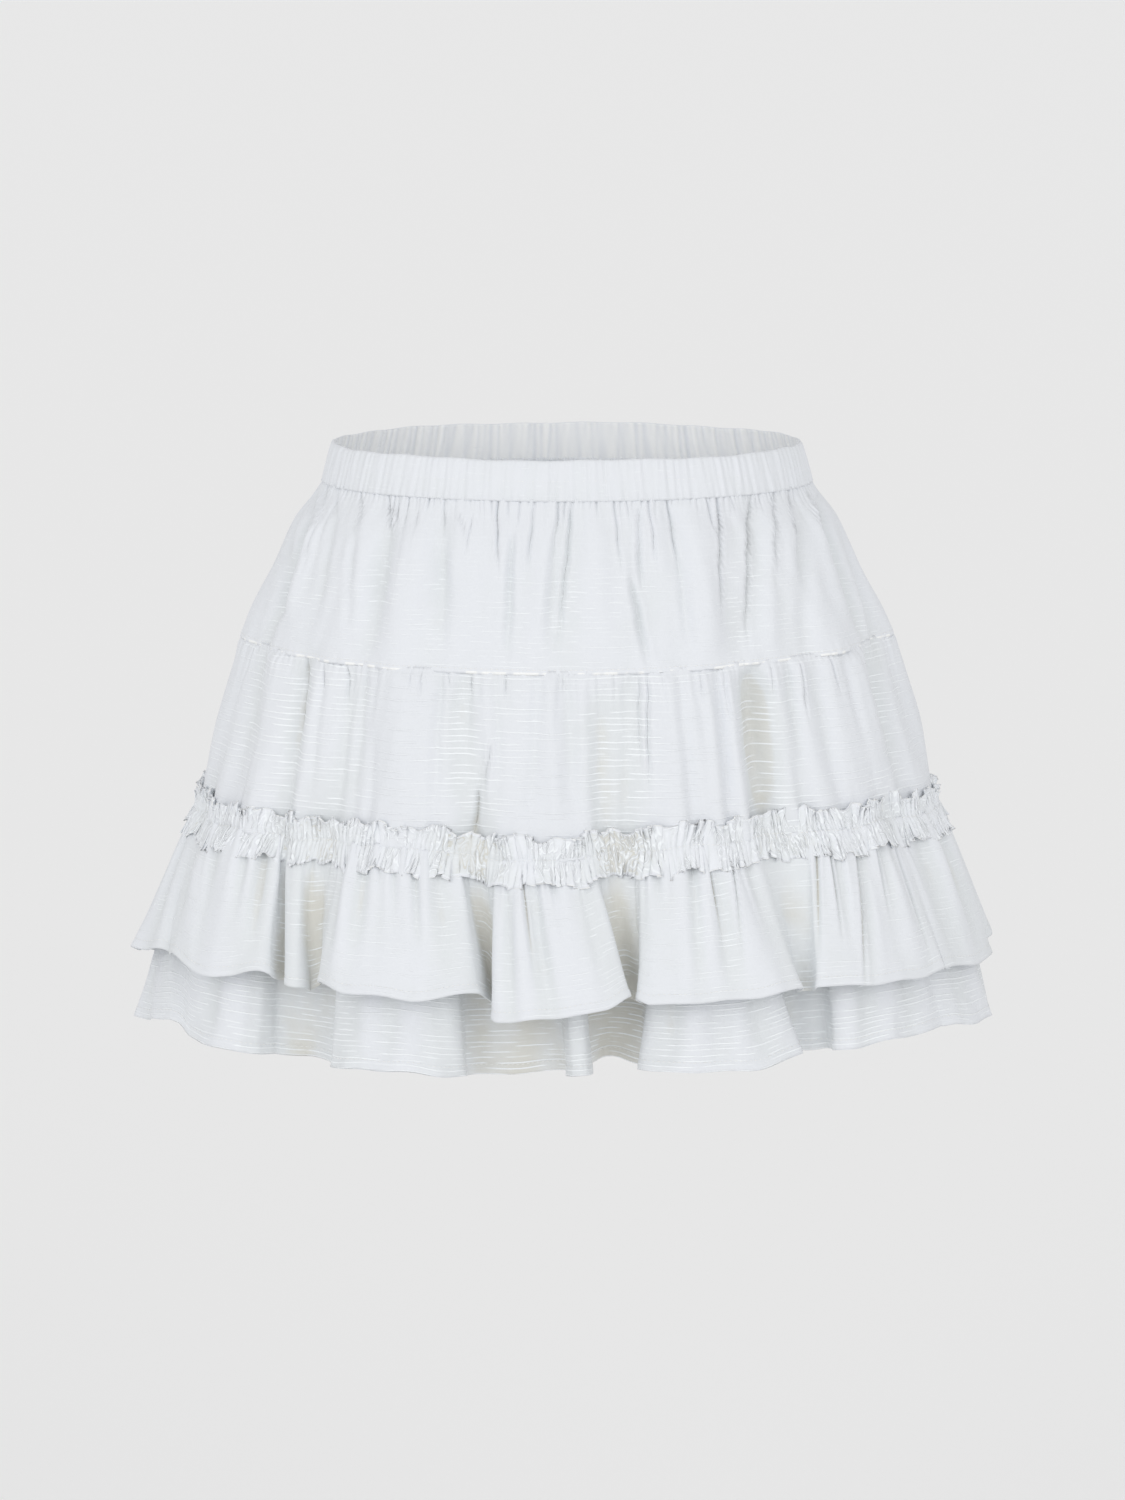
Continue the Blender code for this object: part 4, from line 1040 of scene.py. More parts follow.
def trim_cloth():
    """The trim: a strip gathered along its middle, with two ruffled free edges."""
    angle = np.linspace(-180.0, 180.0, TRIM_GRID.columns + 1)
    seam = value_round(angle, FLOUNCE_SEAM)
    random = np.random.default_rng(TRIM_SEED)
    rib_phase = TRIM_RIBS * np.radians(angle) + 1.5 * round_noise(angle, (17, 43, 71, 97), random)
    ribs = np.cos(rib_phase) * (1 + 0.4 * round_noise(angle, (29, 61, 83), random))
    centre_drift = 0.8 * round_noise(angle, (11, 19, 31), random)
    noises = {edge: ruffle_noise(angle, ruffle) for edge, ruffle in TRIM_RUFFLES.items()}
    positions = np.linspace(1, -1, TRIM_GRID.rows + 1)
    lines, tones = [], []
    for position in positions:
        edge, away = "top" if position > 0 else "foot", np.sign(position)
        ruffle = TRIM_RUFFLES[edge]
        phase, size, rise, sway, flop = noises[edge]
        spread = abs(position) ** 1.15
        lip = abs(position) ** 3
        wave = np.cos(phase + 0.5 * abs(position)) * size + 0.3 * np.cos(2.3 * phase + 1.0)
        sideways = spread * (ruffle.sway * sway - ruffle.curl * np.sin(2 * phase) * size)
        height = seam + centre_drift + position * TRIM_HALF_HEIGHT
        height = height + away * spread * ruffle.rise * (rise + 0.8 * wave)
        height = height - away * lip * ruffle.flop * flop * (0.6 + 0.6 * wave)
        near_middle = np.exp(-((position / 0.5) ** 2))
        lift = TRIM_SEAT + spread * (ruffle.flare + ruffle.depth * wave)
        lift = lift + (0.4 + 0.6 * near_middle) * TRIM_RIB_DEPTH * ribs
        lift = lift + lip * 0.8 * ruffle.flop * flop
        lift = np.maximum(lift - TRIM_STITCH_DIP * np.exp(-((position / 0.12) ** 2)), 0.35)
        if position > 0:
            half_width, half_depth = ring_sizes(height)
            under = body_out(angle, height)
        else:
            share = -position * TRIM_HALF_HEIGHT / FLOUNCE_LENGTH["upper"]
            half_width, half_depth = flounce_oval(share)
            under = flounce_out_at(angle, share)
        turned = angle + np.degrees(sideways / half_width)
        lines.append(place(turned, under + lift, half_width, half_depth, height))
        # The tone: painted shade in the troughs of the waves and ribs, between the lobes, and where a
        # deep valley lies behind; less on the crests.
        tone = TRIM_WAVE_TONE * spread * wave + TRIM_RIB_TONE * ribs
        tone = tone - 0.5 * (SEAM_SWELL - seam_swell(angle))
        tone = tone + value_round(angle, TRIM_VALLEY_SHADE)
        # The free edges themselves are painted light all along.
        tones.append(tone if abs(position) < 1 else FULL_HOLLOW + 0.0 * angle)
    across = TRIM_STRETCH * arc_length(angle, *SEAM_RING[1:])[:, None]
    down = (1 - positions[None, :]) * TRIM_HALF_HEIGHT
    return np.stack(lines, axis=1), across, down, np.stack(tones, axis=1)


FLOAT, VECTOR, COLOUR, WHOLE, GEOMETRY = (
    "NodeSocket" + kind for kind in ("Float", "Vector", "Color", "Int", "Geometry")
)


def make_group(name, inputs, outputs, kind="ShaderNodeTree"):
    """A node group with named sockets: its tree, what it is given and what it makes."""
    tree = bpy.data.node_groups.new(name, kind)
    for socket, kind, *value in inputs:
        made = tree.interface.new_socket(socket, in_out="INPUT", socket_type=kind)
        if value:
            made.default_value = value[0]
    for socket, kind in outputs:
        tree.interface.new_socket(socket, in_out="OUTPUT", socket_type=kind)
    start, end = tree.nodes.new("NodeGroupInput"), tree.nodes.new("NodeGroupOutput")
    return tree, start.outputs, end.inputs


def set_input(tree, socket, value):
    """Links a socket to another one, or sets it to a plain value."""
    if isinstance(value, bpy.types.NodeSocket):
        tree.links.new(value, socket)
    elif value is not None:
        socket.default_value = value


def make_node(tree, kind, *values, **named):
    """A node with its first inputs, and those named, set or linked.

    Names in lower case are settings of the node itself.
    """
    node = tree.nodes.new(kind)
    for name, value in named.items():
        if name.islower():
            setattr(node, name, value)
    for socket, value in [*enumerate(values), *named.items()]:
        if not str(socket).islower():
            set_input(tree, node.inputs[socket], value)
    return node


def math_node(tree, operation, *values):
    """A math node on sockets or plain numbers; gives its output socket."""
    return make_node(tree, "ShaderNodeMath", *values, operation=operation).outputs[0]


def noise_node(tree, vector, scale, detail=2.0, roughness=0.5):
    """A noise texture read at a vector; gives its value from 0 to 1."""
    node = make_node(
        tree, "ShaderNodeTexNoise", vector, Scale=scale, Detail=detail, Roughness=roughness
    )
    return node.outputs["Fac"]


def ramp_node(tree, value, low, high):
    """0 at the low value, 1 at the high one, and a soft S between them."""
    node = make_node(
        tree, "ShaderNodeMapRange", value, low, high, interpolation_type="SMOOTHSTEP"
    )
    return node.outputs["Result"]


def slub_group():
    """Raised slub threads: thin broken lines across the cloth, a mask from 0 to 1."""
    tree, given, made = make_group(
        "Slub Lines",
        [
            ("Cloth UV", VECTOR), ("Spacing", FLOAT, 0.0055), ("Length", FLOAT, 0.022),
            ("Thickness", FLOAT, 0.19), ("Cover", FLOAT, 0.5), ("Clear Top", FLOAT, 0.001),
            ("Offset", FLOAT, 0.0),
        ],
        [("Mask", FLOAT)],
    )

    def calc(operation, *values):
        return math_node(tree, operation, *values)

    def point(*values):
        return make_node(tree, "ShaderNodeCombineXYZ", *values).outputs[0]

    across, down, _ = make_node(tree, "ShaderNodeSeparateXYZ", given["Cloth UV"]).outputs
    bow = noise_node(tree, point(across, given["Offset"], 3.0), 14.0, 1.0)
    bowed = calc("MULTIPLY_ADD", bow, 0.6, calc("DIVIDE", down, given["Spacing"]))
    row = calc("FLOOR", bowed)
    within = calc("SUBTRACT", bowed, row)
    step = calc("DIVIDE", across, given["Length"])
    place_in_row = point(step, calc("MULTIPLY_ADD", row, 17.3, given["Offset"]), 0.0)
    jitter = noise_node(tree, place_in_row, 0.35, 0.0)
    centre = calc("MULTIPLY_ADD", jitter, 0.8, 0.1)
    aside = calc("ABSOLUTE", calc("SUBTRACT", within, centre))
    line = ramp_node(tree, calc("DIVIDE", aside, given["Thickness"]), 1.0, 0.35)
    dash = noise_node(tree, place_in_row, 1.0, 1.0)
    cover = calc("ADD", dash, calc("SUBTRACT", given["Cover"], 0.5))
    whole = ramp_node(tree, cover, 0.47, 0.60)
    bold = calc("MULTIPLY", whole, ramp_node(tree, jitter, 0.12, 0.55))
    below = ramp_node(tree, calc("DIVIDE", down, given["Clear Top"]), 0.5, 1.0)
    bold = calc("MULTIPLY", bold, calc("MULTIPLY_ADD", below, 0.8, 0.2))
    tree.links.new(calc("MULTIPLY", line, bold), made["Mask"])
    return tree


def weave_group():
    """A plain weave: a height from 0 to 1 that rises over each thread."""
    tree, given, made = make_group(
        "Plain Weave", [("Cloth UV", VECTOR), ("Spacing", FLOAT, 0.0006)], [("Height", FLOAT)]
    )
    split = make_node(tree, "ShaderNodeSeparateXYZ", given["Cloth UV"])
    waves = []
    for axis in (0, 1):
        turns = math_node(tree, "DIVIDE", split.outputs[axis], given["Spacing"])
        uneven = noise_node(tree, given["Cloth UV"], 240.0 + 40.0 * axis, 1.0)
        turns = math_node(tree, "MULTIPLY_ADD", uneven, 0.7, turns)
        waves.append(math_node(tree, "SINE", math_node(tree, "MULTIPLY", turns, 2 * np.pi)))
    crossed = math_node(tree, "MULTIPLY", *waves)
    tree.links.new(math_node(tree, "MULTIPLY_ADD", crossed, 0.5, 0.5), made["Height"])
    return tree


def curl_group():
    """Fine curling lines of tightly ruffled cloth: a height, and masks for a painted highlight on its
    ridges and painted shade in its furrows.
    """
    tree, given, made = make_group(
        "Curled Threads",
        [("Cloth UV", VECTOR), ("Scale", FLOAT, 1.0)],
        [("Height", FLOAT), ("Ridge Highlight", FLOAT), ("Furrow Shade", FLOAT)],
    )
    kind = "ShaderNodeVectorMath"
    place = make_node(tree, kind, given["Cloth UV"], (1.0, 0.5, 1.0), operation="MULTIPLY")
    place = make_node(tree, kind, place.outputs[0], Scale=given["Scale"], operation="SCALE")
    hills = noise_node(tree, place.outputs[0], 140.0, 1.0)
    line = math_node(tree, "SINE", math_node(tree, "MULTIPLY", hills, 46.0))
    places = noise_node(tree, place.outputs[0], 60.0, 0.0)
    shown = ramp_node(tree, places, 0.30, 0.50)
    for name, low, high in (("Height", -1.0, 1.0), ("Ridge Highlight", 0.65, 1.0), ("Furrow Shade", -0.65, -1.0)):
        lined = math_node(tree, "MULTIPLY", ramp_node(tree, line, low, high), shown)
        tree.links.new(lined, made[name])
    return tree


def tint_group():
    """The cloth's colour: slubs lighter, painted shade in hollows, painted light on edges, and a slow
    unevenness.
    """
    cloths = ("Cloth", "Shaded Cloth", "Hollow Cloth", "Slub Cloth", "Edge Cloth")
    tree, given, made = make_group(
        "Cotton Tint and Painted Shade",
        [
            *((name, COLOUR) for name in cloths),
            ("Cloth UV", VECTOR), ("Slub", FLOAT, 0.0), ("Hollow", FLOAT, 0.0),
        ],
        [("Colour", COLOUR)],
    )
    patches = noise_node(tree, given["Cloth UV"], 34.0, 3.0, 0.55)
    unevenness = math_node(tree, "MULTIPLY_ADD", patches, 0.5, -0.16)
    # Painted shade in the hollows, warmer where deepest and moved about by random patches, and painted
    # light where the tone is highest.
    depth = math_node(tree, "ADD", given["Hollow"], unevenness)
    shaded = ramp_node(tree, depth, 0.0, 0.45)
    deep = ramp_node(tree, depth, 0.54, 1.0)
    height = math_node(tree, "MULTIPLY", given["Hollow"], -1.0)
    raised = ramp_node(tree, height, 0.8, 1.0)
    colour = given["Cloth"]
    for factor, other in (
        (shaded, "Shaded Cloth"), (deep, "Hollow Cloth"), (raised, "Edge Cloth"),
        (given["Slub"], "Slub Cloth"),
    ):
        mix = make_node(tree, "ShaderNodeMix", factor, data_type="RGBA")
        # Inputs 6 and 7, and output 2, are the colours.
        set_input(tree, mix.inputs[6], colour)
        set_input(tree, mix.inputs[7], given[other])
        colour = mix.outputs[2]
    tree.links.new(colour, made["Colour"])
    return tree


def group_node(tree, name, build, values):
    """A shader node group, built when first asked for, with its inputs set or linked."""
    node = tree.nodes.new("ShaderNodeGroup")
    node.node_tree = bpy.data.node_groups.get(name) or build()
    for socket, value in values.items():
        set_input(tree, node.inputs[socket], value)
    return node.outputs


def rgba(colour, lightness=1.0):
    """A colour for a socket, made lighter or darker."""
    return (*(channel * lightness for channel in colour), 1.0)


def new_surface(name):
    """A new material, its node tree and its surface node's inputs."""
    material = bpy.data.materials.new(name)
    material.use_nodes = True
    tree = material.node_tree
    return material, tree, tree.nodes["Principled BSDF"].inputs


# How much of its rows the slubs cover, their relief, spacing and length against
# the usual ones, how far below its seam they are clear, how much they show, the
# cloth's sheen, and how much lighter or darker the piece is painted than the usual
# one: painted light on the trim and the upper flounce, painted shade on the tier.
Finish = namedtuple("Finish", "cover relief spacing length clear_top showing sheen lightness")
FINISHES = {
    "yoke": Finish(0.50, 0.12, 0.85, 0.55, 0.050, -0.42, 0.2, 1.0),
    "tier": Finish(0.57, 0.18, 1.05, 0.9, 0.004, -0.26, 0.2, 0.993),
    "flounce_upper": Finish(0.50, 0.15, 0.95, 0.8, 0.024, -0.52, 0.2, 1.01),
    "flounce_lower": Finish(0.57, 0.18, 1.0, 0.9, 0.004, -0.15, 0.2, 1.0),
    "band": Finish(0.32, 0.14, 0.6, 0.6, 0.001, -0.3, 0.2, 1.0),
    "trim": Finish(0.20, 0.14, 0.6, 0.5, 0.001, -0.3, 0.25, 1.06),
}
# Reliefs in millimetres.
FIBRE_RELIEF = 0.22
WEAVE_RELIEF = 0.05
CURL_RELIEF = 0.38
TWIST_RELIEF = 0.1
FINE_SLUB_SHARE = 0.6
CLOTH_ROUGHNESS = 0.86
THREAD_ROUGHNESS = 0.6


def cotton(kind):
    """White slubbed cotton for one kind of piece."""
    name = "cotton_" + kind
    if name in bpy.data.materials:
        return bpy.data.materials[name]
    finish = FINISHES[kind]
    cloth = bpy.context.scene.skirt_cloth
    material, tree, surface = new_surface(name)
    uv = make_node(tree, "ShaderNodeUVMap", uv_map="Cloth").outputs["UV"]
    hollow = make_node(tree, "ShaderNodeAttribute", attribute_name="hollow").outputs["Fac"]
    slub = group_node(tree, "Slub Lines", slub_group, {
        "Cloth UV": uv,
        "Spacing": cloth.slub_spacing * finish.spacing,
        "Length": cloth.slub_length * finish.length,
        "Cover": finish.cover,
        "Clear Top": finish.clear_top,
        "Offset": 1.7 * len(kind),
    })
    fine_slub = group_node(tree, "Slub Lines", slub_group, {
        "Cloth UV": uv,
        "Spacing": cloth.slub_spacing * FINE_SLUB_SHARE,
        "Length": cloth.slub_length * FINE_SLUB_SHARE * finish.length,
        "Thickness": 0.2,
        "Cover": 0.42,
        "Clear Top": finish.clear_top,
        "Offset": 5.1,
    })
    weave = group_node(tree, "Plain Weave", weave_group, {
        "Cloth UV": uv, "Spacing": cloth.thread_spacing,
    })
    threads = math_node(tree, "MULTIPLY_ADD", fine_slub["Mask"], 0.3, slub["Mask"])
    clusters = noise_node(tree, uv, 13.0, 1.0)
    # The slubs show more deep in the folds and less on the ridges, a painted highlight on the raised
    # threads where shade falls, and more in random clusters.
    showing = math_node(tree, "MULTIPLY_ADD", hollow, 0.9, finish.showing)
    showing = math_node(tree, "MULTIPLY_ADD", clusters, 1.8, showing)
    showing = math_node(tree, "MINIMUM", math_node(tree, "MAXIMUM", showing, 0.2), 1.0)
    slubs = math_node(tree, "MULTIPLY", threads, showing)
    reliefs = [
        (noise_node(tree, uv, 420.0, 3.0), FIBRE_RELIEF),
        (weave["Height"], WEAVE_RELIEF),
        (threads, finish.relief),
    ]
    if kind == "trim":
        curls = group_node(tree, "Curled Threads", curl_group, {"Cloth UV": uv})
        reliefs.append((curls["Height"], CURL_RELIEF))
        # The curls' ridges are painted lighter, a painted highlight, and their furrows darker, a
        # painted shade.
        slubs = math_node(tree, "MULTIPLY_ADD", curls["Ridge Highlight"], 0.85, slubs)
        hollow = math_node(tree, "MULTIPLY_ADD", curls["Furrow Shade"], 0.35, hollow)
    tint_and_shade = group_node(tree, "Cotton Tint and Painted Shade", tint_group, {
        "Cloth": rgba(cloth.cloth_colour, finish.lightness),
        "Shaded Cloth": rgba(cloth.shaded_colour, finish.lightness),
        "Hollow Cloth": rgba(cloth.hollow_colour),
        "Slub Cloth": rgba(cloth.slub_colour),
        "Edge Cloth": rgba(cloth.edge_colour),
        "Cloth UV": uv,
        "Slub": math_node(tree, "MINIMUM", slubs, 1.0),
        "Hollow": hollow,
    })
    normal = None
    for height, relief in reliefs:
        bump = make_node(
            tree, "ShaderNodeBump", Strength=1.0, Distance=relief * MM, Height=height, Normal=normal
        )
        normal = bump.outputs["Normal"]
    for name, value in {
        "Base Color": tint_and_shade["Colour"],
        "Roughness": CLOTH_ROUGHNESS,
        "Specular IOR Level": 0.3,
        "Sheen Weight": finish.sheen,
        "Sheen Roughness": 0.5,
        "Normal": normal,
    }.items():
        set_input(tree, surface[name], value)
    material.diffuse_color = rgba(cloth.cloth_colour)
    return material


def thread_material():
    """White sewing thread, twisted."""
    material, tree, surface = new_surface("sewing_thread")
    place_on_piece = make_node(tree, "ShaderNodeTexCoord").outputs["Object"]
    twist = noise_node(tree, place_on_piece, 1800.0, 2.0)
    bump = make_node(tree, "ShaderNodeBump", Distance=TWIST_RELIEF * MM, Height=twist)
    set_input(tree, surface["Normal"], bump.outputs["Normal"])
    set_input(tree, surface["Base Color"], rgba(bpy.context.scene.skirt_cloth.thread_colour))
    set_input(tree, surface["Roughness"], THREAD_ROUGHNESS)
    return material


def link_new(name, data):
    """A new object in the scene for some data."""
    made = bpy.data.objects.new(name, data)
    bpy.context.scene.collection.objects.link(made)
    return made


def weave_shell(name, cloth, material, wall=None, is_ring=False, is_loop=False):
    """A piece's mesh from its grid of points, with its cut as the UV map.

    A ring closes on itself across, and a loop closes on itself down.
    """
    points, across, down, tone = cloth
    columns, rows = points.shape[:2]
    across = np.broadcast_to(across, (columns, rows))
    down = np.broadcast_to(down, (columns, rows))
    cells = np.arange(columns - 1), np.arange(rows if is_loop else rows - 1)
    i, j = np.meshgrid(*cells, indexing="ij")
    corners = [(i, j), (i, j + 1), (i + 1, j + 1), (i + 1, j)]
    used_columns = columns - 1 if is_ring else columns
    faces = np.stack(
        [(a % used_columns if is_ring else a) * rows + b % rows for a, b in corners], axis=-1
    ).reshape(-1, 4)
    last_step = down[0, -1] - down[0, -2]
    longer = np.append(down, down[:, -1:] + last_step, axis=1)
    uv = np.stack(
        [np.stack((across[a, 0], longer[a, b]), axis=-1) for a, b in corners], axis=-2
    )
    mesh = bpy.data.meshes.new(name)
    mesh.from_pydata(points[:used_columns].reshape(-1, 3).tolist(), [], faces.tolist())
    mesh.uv_layers.new(name="Cloth").data.foreach_set("uv", (uv * MM).astype(np.float32).ravel())
    # The tone becomes the hollow attribute: painted shade where it is above 0, painted light where it
    # is near -1.
    hollow = np.clip(-tone[:used_columns] / FULL_HOLLOW, -1, 1).astype(np.float32)
    mesh.attributes.new("hollow", "FLOAT", "POINT").data.foreach_set("value", hollow.ravel())
    mesh.shade_smooth()
    mesh.materials.append(material)
    piece = link_new(name, mesh)
    if wall:
        thickness = piece.modifiers.new("Wall", "SOLIDIFY")
        thickness.thickness = wall
        thickness.offset = 0.0
        thickness.use_rim = True
    return piece


def wear(piece, node):
    """The gathered piece rides on the skirt in place of its solid, which is hidden."""
    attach(piece, BODY)
    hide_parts(node)


class SKIRT_OT_waistband(bpy.types.Operator):
    """Makes the gathered waistband"""

    bl_idname = "skirt.waistband"
    bl_label = "Waistband"

    def execute(self, context):
        piece = weave_shell("waistband_casing", band_cloth(), cotton("band"), None, True, True)
        wear(piece, "waistband")
        return {"FINISHED"}


class SKIRT_OT_yokes(bpy.types.Operator):
    """Makes the front and back yoke"""

    bl_idname = "skirt.yokes"
    bl_label = "Yokes"

    def execute(self, context):
        wall = context.scene.skirt_cloth.wall
        for side in SIDES:
            piece = weave_shell("yoke_cloth_" + side, yoke_cloth(side), cotton("yoke"), wall)
            wear(piece, "yoke_" + side)
        return {"FINISHED"}


class SKIRT_OT_tiers(bpy.types.Operator):
    """Makes the front and back middle tier"""

    bl_idname = "skirt.tiers"
    bl_label = "Middle tiers"

    def execute(self, context):
        wall = context.scene.skirt_cloth.wall
        for side in SIDES:
            piece = weave_shell("tier_cloth_" + side, tier_cloth(side), cotton("tier"), wall)
            wear(piece, "tier_" + side)
        return {"FINISHED"}


class SKIRT_OT_flounces(bpy.types.Operator):
    """Makes the upper and the lower flounces, front and back"""

    bl_idname = "skirt.flounces"
    bl_label = "Flounces"

    def execute(self, context):
        wall = context.scene.skirt_cloth.wall
        for layer, side in product(LAYERS, SIDES):
            cloth = flounce_cloth(layer, side)
            name = f"flounce_cloth_{layer}_{side}"
            piece = weave_shell(name, cloth, cotton("flounce_" + layer), wall)
            wear(piece, f"flounce_{layer}_{side}")
        return {"FINISHED"}


class SKIRT_OT_ruffle_trim(bpy.types.Operator):
    """Makes the ruffled trim over the flounce seam"""

    bl_idname = "skirt.ruffle_trim"
    bl_label = "Ruffle trim"

    def execute(self, context):
        wall = context.scene.skirt_cloth.wall
        piece = weave_shell("ruffle_trim_cloth", trim_cloth(), cotton("trim"), wall, True)
        wear(piece, "ruffle_trim")
        return {"FINISHED"}


def stitch_tree(material):
    """Geometry Nodes that lay one stitch after another along a line."""
    tree, given, made = make_group(
        "Stitches",
        [
            ("Line", GEOMETRY), ("Pitch", FLOAT), ("Length", FLOAT), ("Thickness", FLOAT),
            ("Seed", WHOLE),
        ],
        [("Stitches", GEOMETRY)],
        "GeometryNodeTree",
    )

    def node(kind, *values, **named):
        return make_node(tree, kind, *values, **named).outputs

    line = node("GeometryNodeMeshToCurve", given["Line"])
    places = node("GeometryNodeResampleCurve", line[0], Length=given["Pitch"], mode="LENGTH")
    tangent = node("GeometryNodeInputTangent")
    turn = node("FunctionNodeAlignRotationToVector", Vector=tangent[0], axis="X")
    stitch = node("GeometryNodeMeshIcoSphere", Radius=0.5, Subdivisions=1)
    size = node("ShaderNodeCombineXYZ", given["Length"], *[given["Thickness"]] * 2)
    # Inputs 2 and 3, and output 1, are the plain numbers.
    vary = node("FunctionNodeRandomValue", None, None, 0.8, 1.12, Seed=given["Seed"])
    size = node("ShaderNodeVectorMath", size[0], Scale=vary[1], operation="SCALE")
    stitches = node(
        "GeometryNodeInstanceOnPoints",
        Points=places[0], Instance=stitch["Mesh"], Rotation=turn[0], Scale=size[0],
    )
    stitches = node("GeometryNodeRealizeInstances", stitches[0])
    stitches = node("GeometryNodeSetShadeSmooth", stitches[0])
    stitches = node("GeometryNodeSetMaterial", stitches[0], Material=material)
    tree.links.new(stitches[0], made["Stitches"])
    return tree


def sew_line(name, lines, seed):
    """One piece of stitches along some lines of points."""
    sewing = bpy.context.scene.skirt_sewing
    vertices, edges = [], []
    for line in lines:
        first = len(vertices)
        vertices += line.tolist()
        edges += [(first + n, first + n + 1) for n in range(len(line) - 1)]
    mesh = bpy.data.meshes.new(name + "_line")
    mesh.from_pydata(vertices, edges, [])
    guide = link_new(name + "_line", mesh)
    tree = bpy.data.node_groups.get("Stitches") or stitch_tree(thread_material())
    modifier = guide.modifiers.new("Stitches", "NODES")
    modifier.node_group = tree
    values = {
        "Pitch": sewing.stitch_pitch,
        "Length": sewing.stitch_length,
        "Thickness": sewing.stitch_thickness,
        "Seed": seed,
    }
    for item in tree.interface.items_tree:
        if item.name in values:
            modifier[item.identifier] = values[item.name]
    bpy.context.view_layer.update()
    evaluated = guide.evaluated_get(bpy.context.evaluated_depsgraph_get())
    stitches = bpy.data.meshes.new_from_object(evaluated)
    stitches.name = name
    piece = link_new(name, stitches)
    bpy.data.objects.remove(guide)
    if not stitches.polygons:
        raise RuntimeError(f"{name} has no stitches")
    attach(piece, BODY)


def lifted(points, row, lift=STITCH_LIFT):
    """One row of a cloth's points, lifted off it a little."""
    return points[:, row] + outward(points)[:, row] * lift * MM


def line_on(cloth, distance):
    """A line of points on a cloth, so far down it, lifted off it a little."""
    points, _, down, _ = cloth
    down = np.broadcast_to(down, points.shape[:2])
    row = np.array([np.interp(distance, d, np.arange(len(d))) for d in down])
    low = np.clip(row.astype(int), 0, points.shape[1] - 2)
    share = (row - low)[:, None]
    columns = np.arange(points.shape[0])
    here = points[columns, low] * (1 - share) + points[columns, low + 1] * share
    return here + outward(points)[columns, low] * STITCH_LIFT * MM


class SKIRT_OT_stitches(bpy.types.Operator):
    """Sews the stitch lines of band, yoke, trim and hems"""

    bl_idname = "skirt.stitches"
    bl_label = "Stitches"

    def execute(self, context):
        hem = context.scene.skirt_cloth.hem / MM
        yoke_lines = [lifted(yoke_cloth(side)[0], YOKE_STITCH_ROW) for side in SIDES]
        sew_line("yoke_stitches", yoke_lines, STITCH_SEEDS["yoke"])
        for layer, side in product(LAYERS, SIDES):
            line = line_on(flounce_cloth(layer, side), FLOUNCE_LENGTH[layer] - hem)
            sew_line(f"hem_stitches_{layer}_{side}", [line], STITCH_SEEDS["hem"])
        middle_line = lifted(trim_cloth()[0], TRIM_GRID.rows // 2)
        sew_line("trim_stitches", [middle_line], STITCH_SEEDS["trim"])
        points = band_cloth()[0]
        outer = points[:, : points.shape[1] // 2]
        height = BAND_FOOT + BAND_STITCHES_UP
        row = np.argmin(np.abs(outer[0, :, 2] / MM - height))
        foot_line = lifted(outer, row, BAND_STITCH_LIFT)
        sew_line("band_stitches", [foot_line], STITCH_SEEDS["band"])
        return {"FINISHED"}


# The camera: what it looks at, how far off it stands, how many degrees down it
# looks, and its lens and sensor in millimetres.
CAMERA_AIM = (-0.0027, 0.0, -0.1772)
CAMERA_DISTANCE = 3.5
CAMERA_PITCH = 9.84
CAMERA_LENS = 140.09
SENSOR_WIDTH = 36.0
FLOOR_RADIUS = 40.0
FLOOR_DROP = 0.9
FLOOR_ROUGHNESS = 0.9
# The lights: how wide they are and how high they stand, in degrees, and how far
# round from the front each one is.
LIGHT_SPREAD = 40
LIGHT_ELEVATION = 18
LIGHT_DISTANCE = 5
KEY_AZIMUTH = -38
FILL_AZIMUTH = 31


def soft_sun(name, strength, azimuth):
    """A broad soft light from far off: its azimuth goes round from the front."""
    data = bpy.data.lights.new(name, "SUN")
    data.energy = strength
    data.angle = np.radians(LIGHT_SPREAD)
    light = link_new(name, data)
    turn, rise = np.radians(azimuth), np.radians(LIGHT_ELEVATION)
    source = Vector((np.sin(turn) * np.cos(rise), -np.cos(turn) * np.cos(rise), np.sin(rise)))
    light.location = source * LIGHT_DISTANCE
    light.rotation_euler = source.to_track_quat("Z", "Y").to_euler()


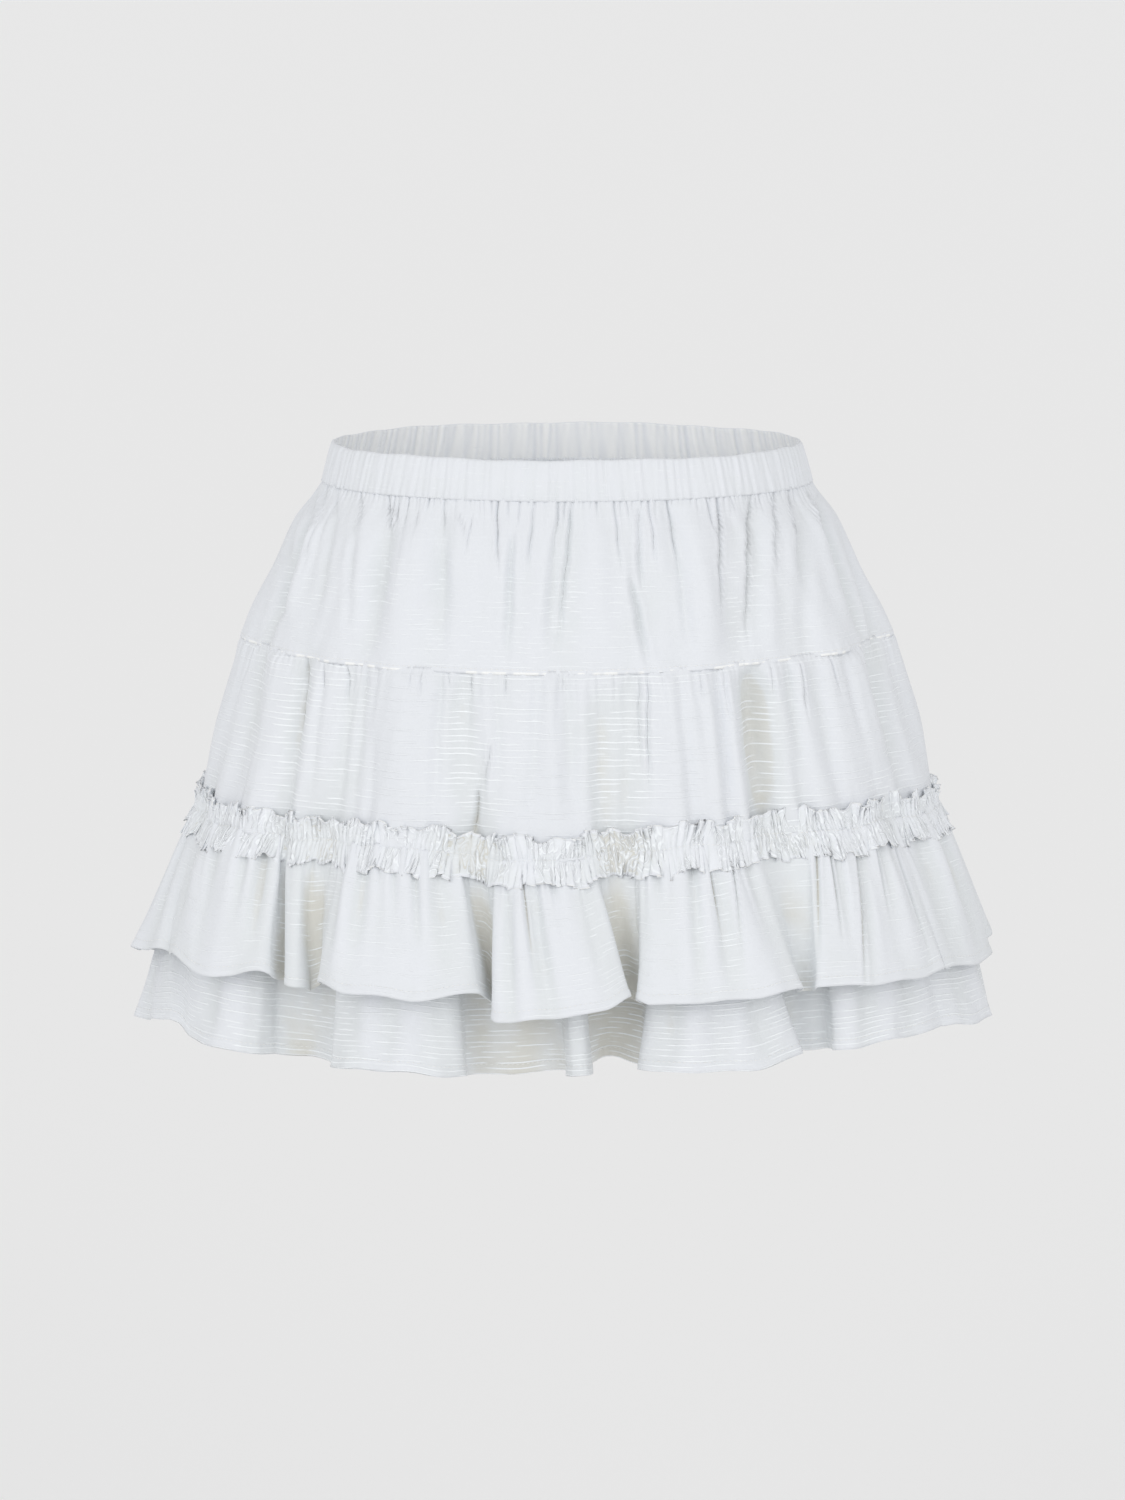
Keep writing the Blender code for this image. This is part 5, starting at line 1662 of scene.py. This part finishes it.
class SKIRT_OT_stage(bpy.types.Operator):
    """Sets the pale floor, the soft lights and the camera"""

    bl_idname = "skirt.stage"
    bl_label = "Stage"

    def execute(self, context):
        scene = context.scene
        stage = scene.skirt_stage
        scene.view_settings.view_transform = "Standard"
        world = bpy.data.worlds.new("pale_air")
        scene.world = world
        world.use_nodes = True
        air = world.node_tree.nodes["Background"].inputs
        air["Color"].default_value = rgba(stage.air_colour)
        air["Strength"].default_value = stage.air_strength

        bpy.ops.mesh.primitive_circle_add(
            vertices=64, radius=FLOOR_RADIUS, fill_type="NGON", location=(0, 0, -FLOOR_DROP)
        )
        floor = context.object
        floor.name = "floor"
        material, tree, surface = new_surface("pale_floor")
        for name, value in {
            "Base Color": rgba(stage.floor_colour),
            "Roughness": FLOOR_ROUGHNESS,
            "Emission Color": (1.0, 1.0, 1.0, 1.0),
            "Emission Strength": stage.floor_glow,
        }.items():
            set_input(tree, surface[name], value)
        floor.data.materials.append(material)

        soft_sun("key", stage.key_strength, KEY_AZIMUTH)
        soft_sun("fill", stage.fill_strength, FILL_AZIMUTH)

        data = bpy.data.cameras.new("camera")
        data.lens = CAMERA_LENS
        data.sensor_width = SENSOR_WIDTH
        camera = link_new("camera", data)
        pitch = np.radians(CAMERA_PITCH)
        towards = Vector((0, np.cos(pitch), -np.sin(pitch)))
        camera.location = Vector(CAMERA_AIM) - towards * CAMERA_DISTANCE / np.cos(pitch)
        camera.rotation_euler = (np.pi / 2 - pitch, 0, 0)
        scene.camera = camera
        return {"FINISHED"}


class SKIRT_PT_panel(bpy.types.Panel):
    """The skirt's pieces, sizes and colours"""

    bl_idname = "SKIRT_PT_panel"
    bl_label = "Tiered Ruffle Skirt"
    bl_space_type = "VIEW_3D"
    bl_region_type = "UI"
    bl_category = "Skirt"

    def draw(self, context):
        for group in SETTINGS:
            settings = getattr(context.scene, group)
            box = self.layout.box()
            for name in settings.__annotations__:
                box.prop(settings, name)
        for operator in OPERATORS:
            self.layout.operator(operator.bl_idname)


SETTINGS = {
    "skirt_cloth": SKIRT_PG_cloth,
    "skirt_sewing": SKIRT_PG_sewing,
    "skirt_stage": SKIRT_PG_stage,
}
OPERATORS = (
    SKIRT_OT_stage,
    SKIRT_OT_waistband,
    SKIRT_OT_yokes,
    SKIRT_OT_tiers,
    SKIRT_OT_flounces,
    SKIRT_OT_ruffle_trim,
    SKIRT_OT_stitches,
)
CLASSES = (*SETTINGS.values(), *OPERATORS, SKIRT_PT_panel)


def register():
    """Registers the classes and gives the scene its settings."""
    for cls in CLASSES:
        bpy.utils.register_class(cls)
    for name, group in SETTINGS.items():
        setattr(bpy.types.Scene, name, bpy.props.PointerProperty(type=group))


def unregister():
    """Takes the classes and the settings away."""
    for name in SETTINGS:
        delattr(bpy.types.Scene, name)
    for cls in reversed(CLASSES):
        bpy.utils.unregister_class(cls)


def main():
    """Builds the stage and every piece."""
    register()
    bpy.ops.skirt.stage()
    bpy.ops.skirt.waistband()
    bpy.ops.skirt.yokes()
    bpy.ops.skirt.tiers()
    bpy.ops.skirt.flounces()
    bpy.ops.skirt.ruffle_trim()
    bpy.ops.skirt.stitches()


if __name__ == "__main__":
    main()
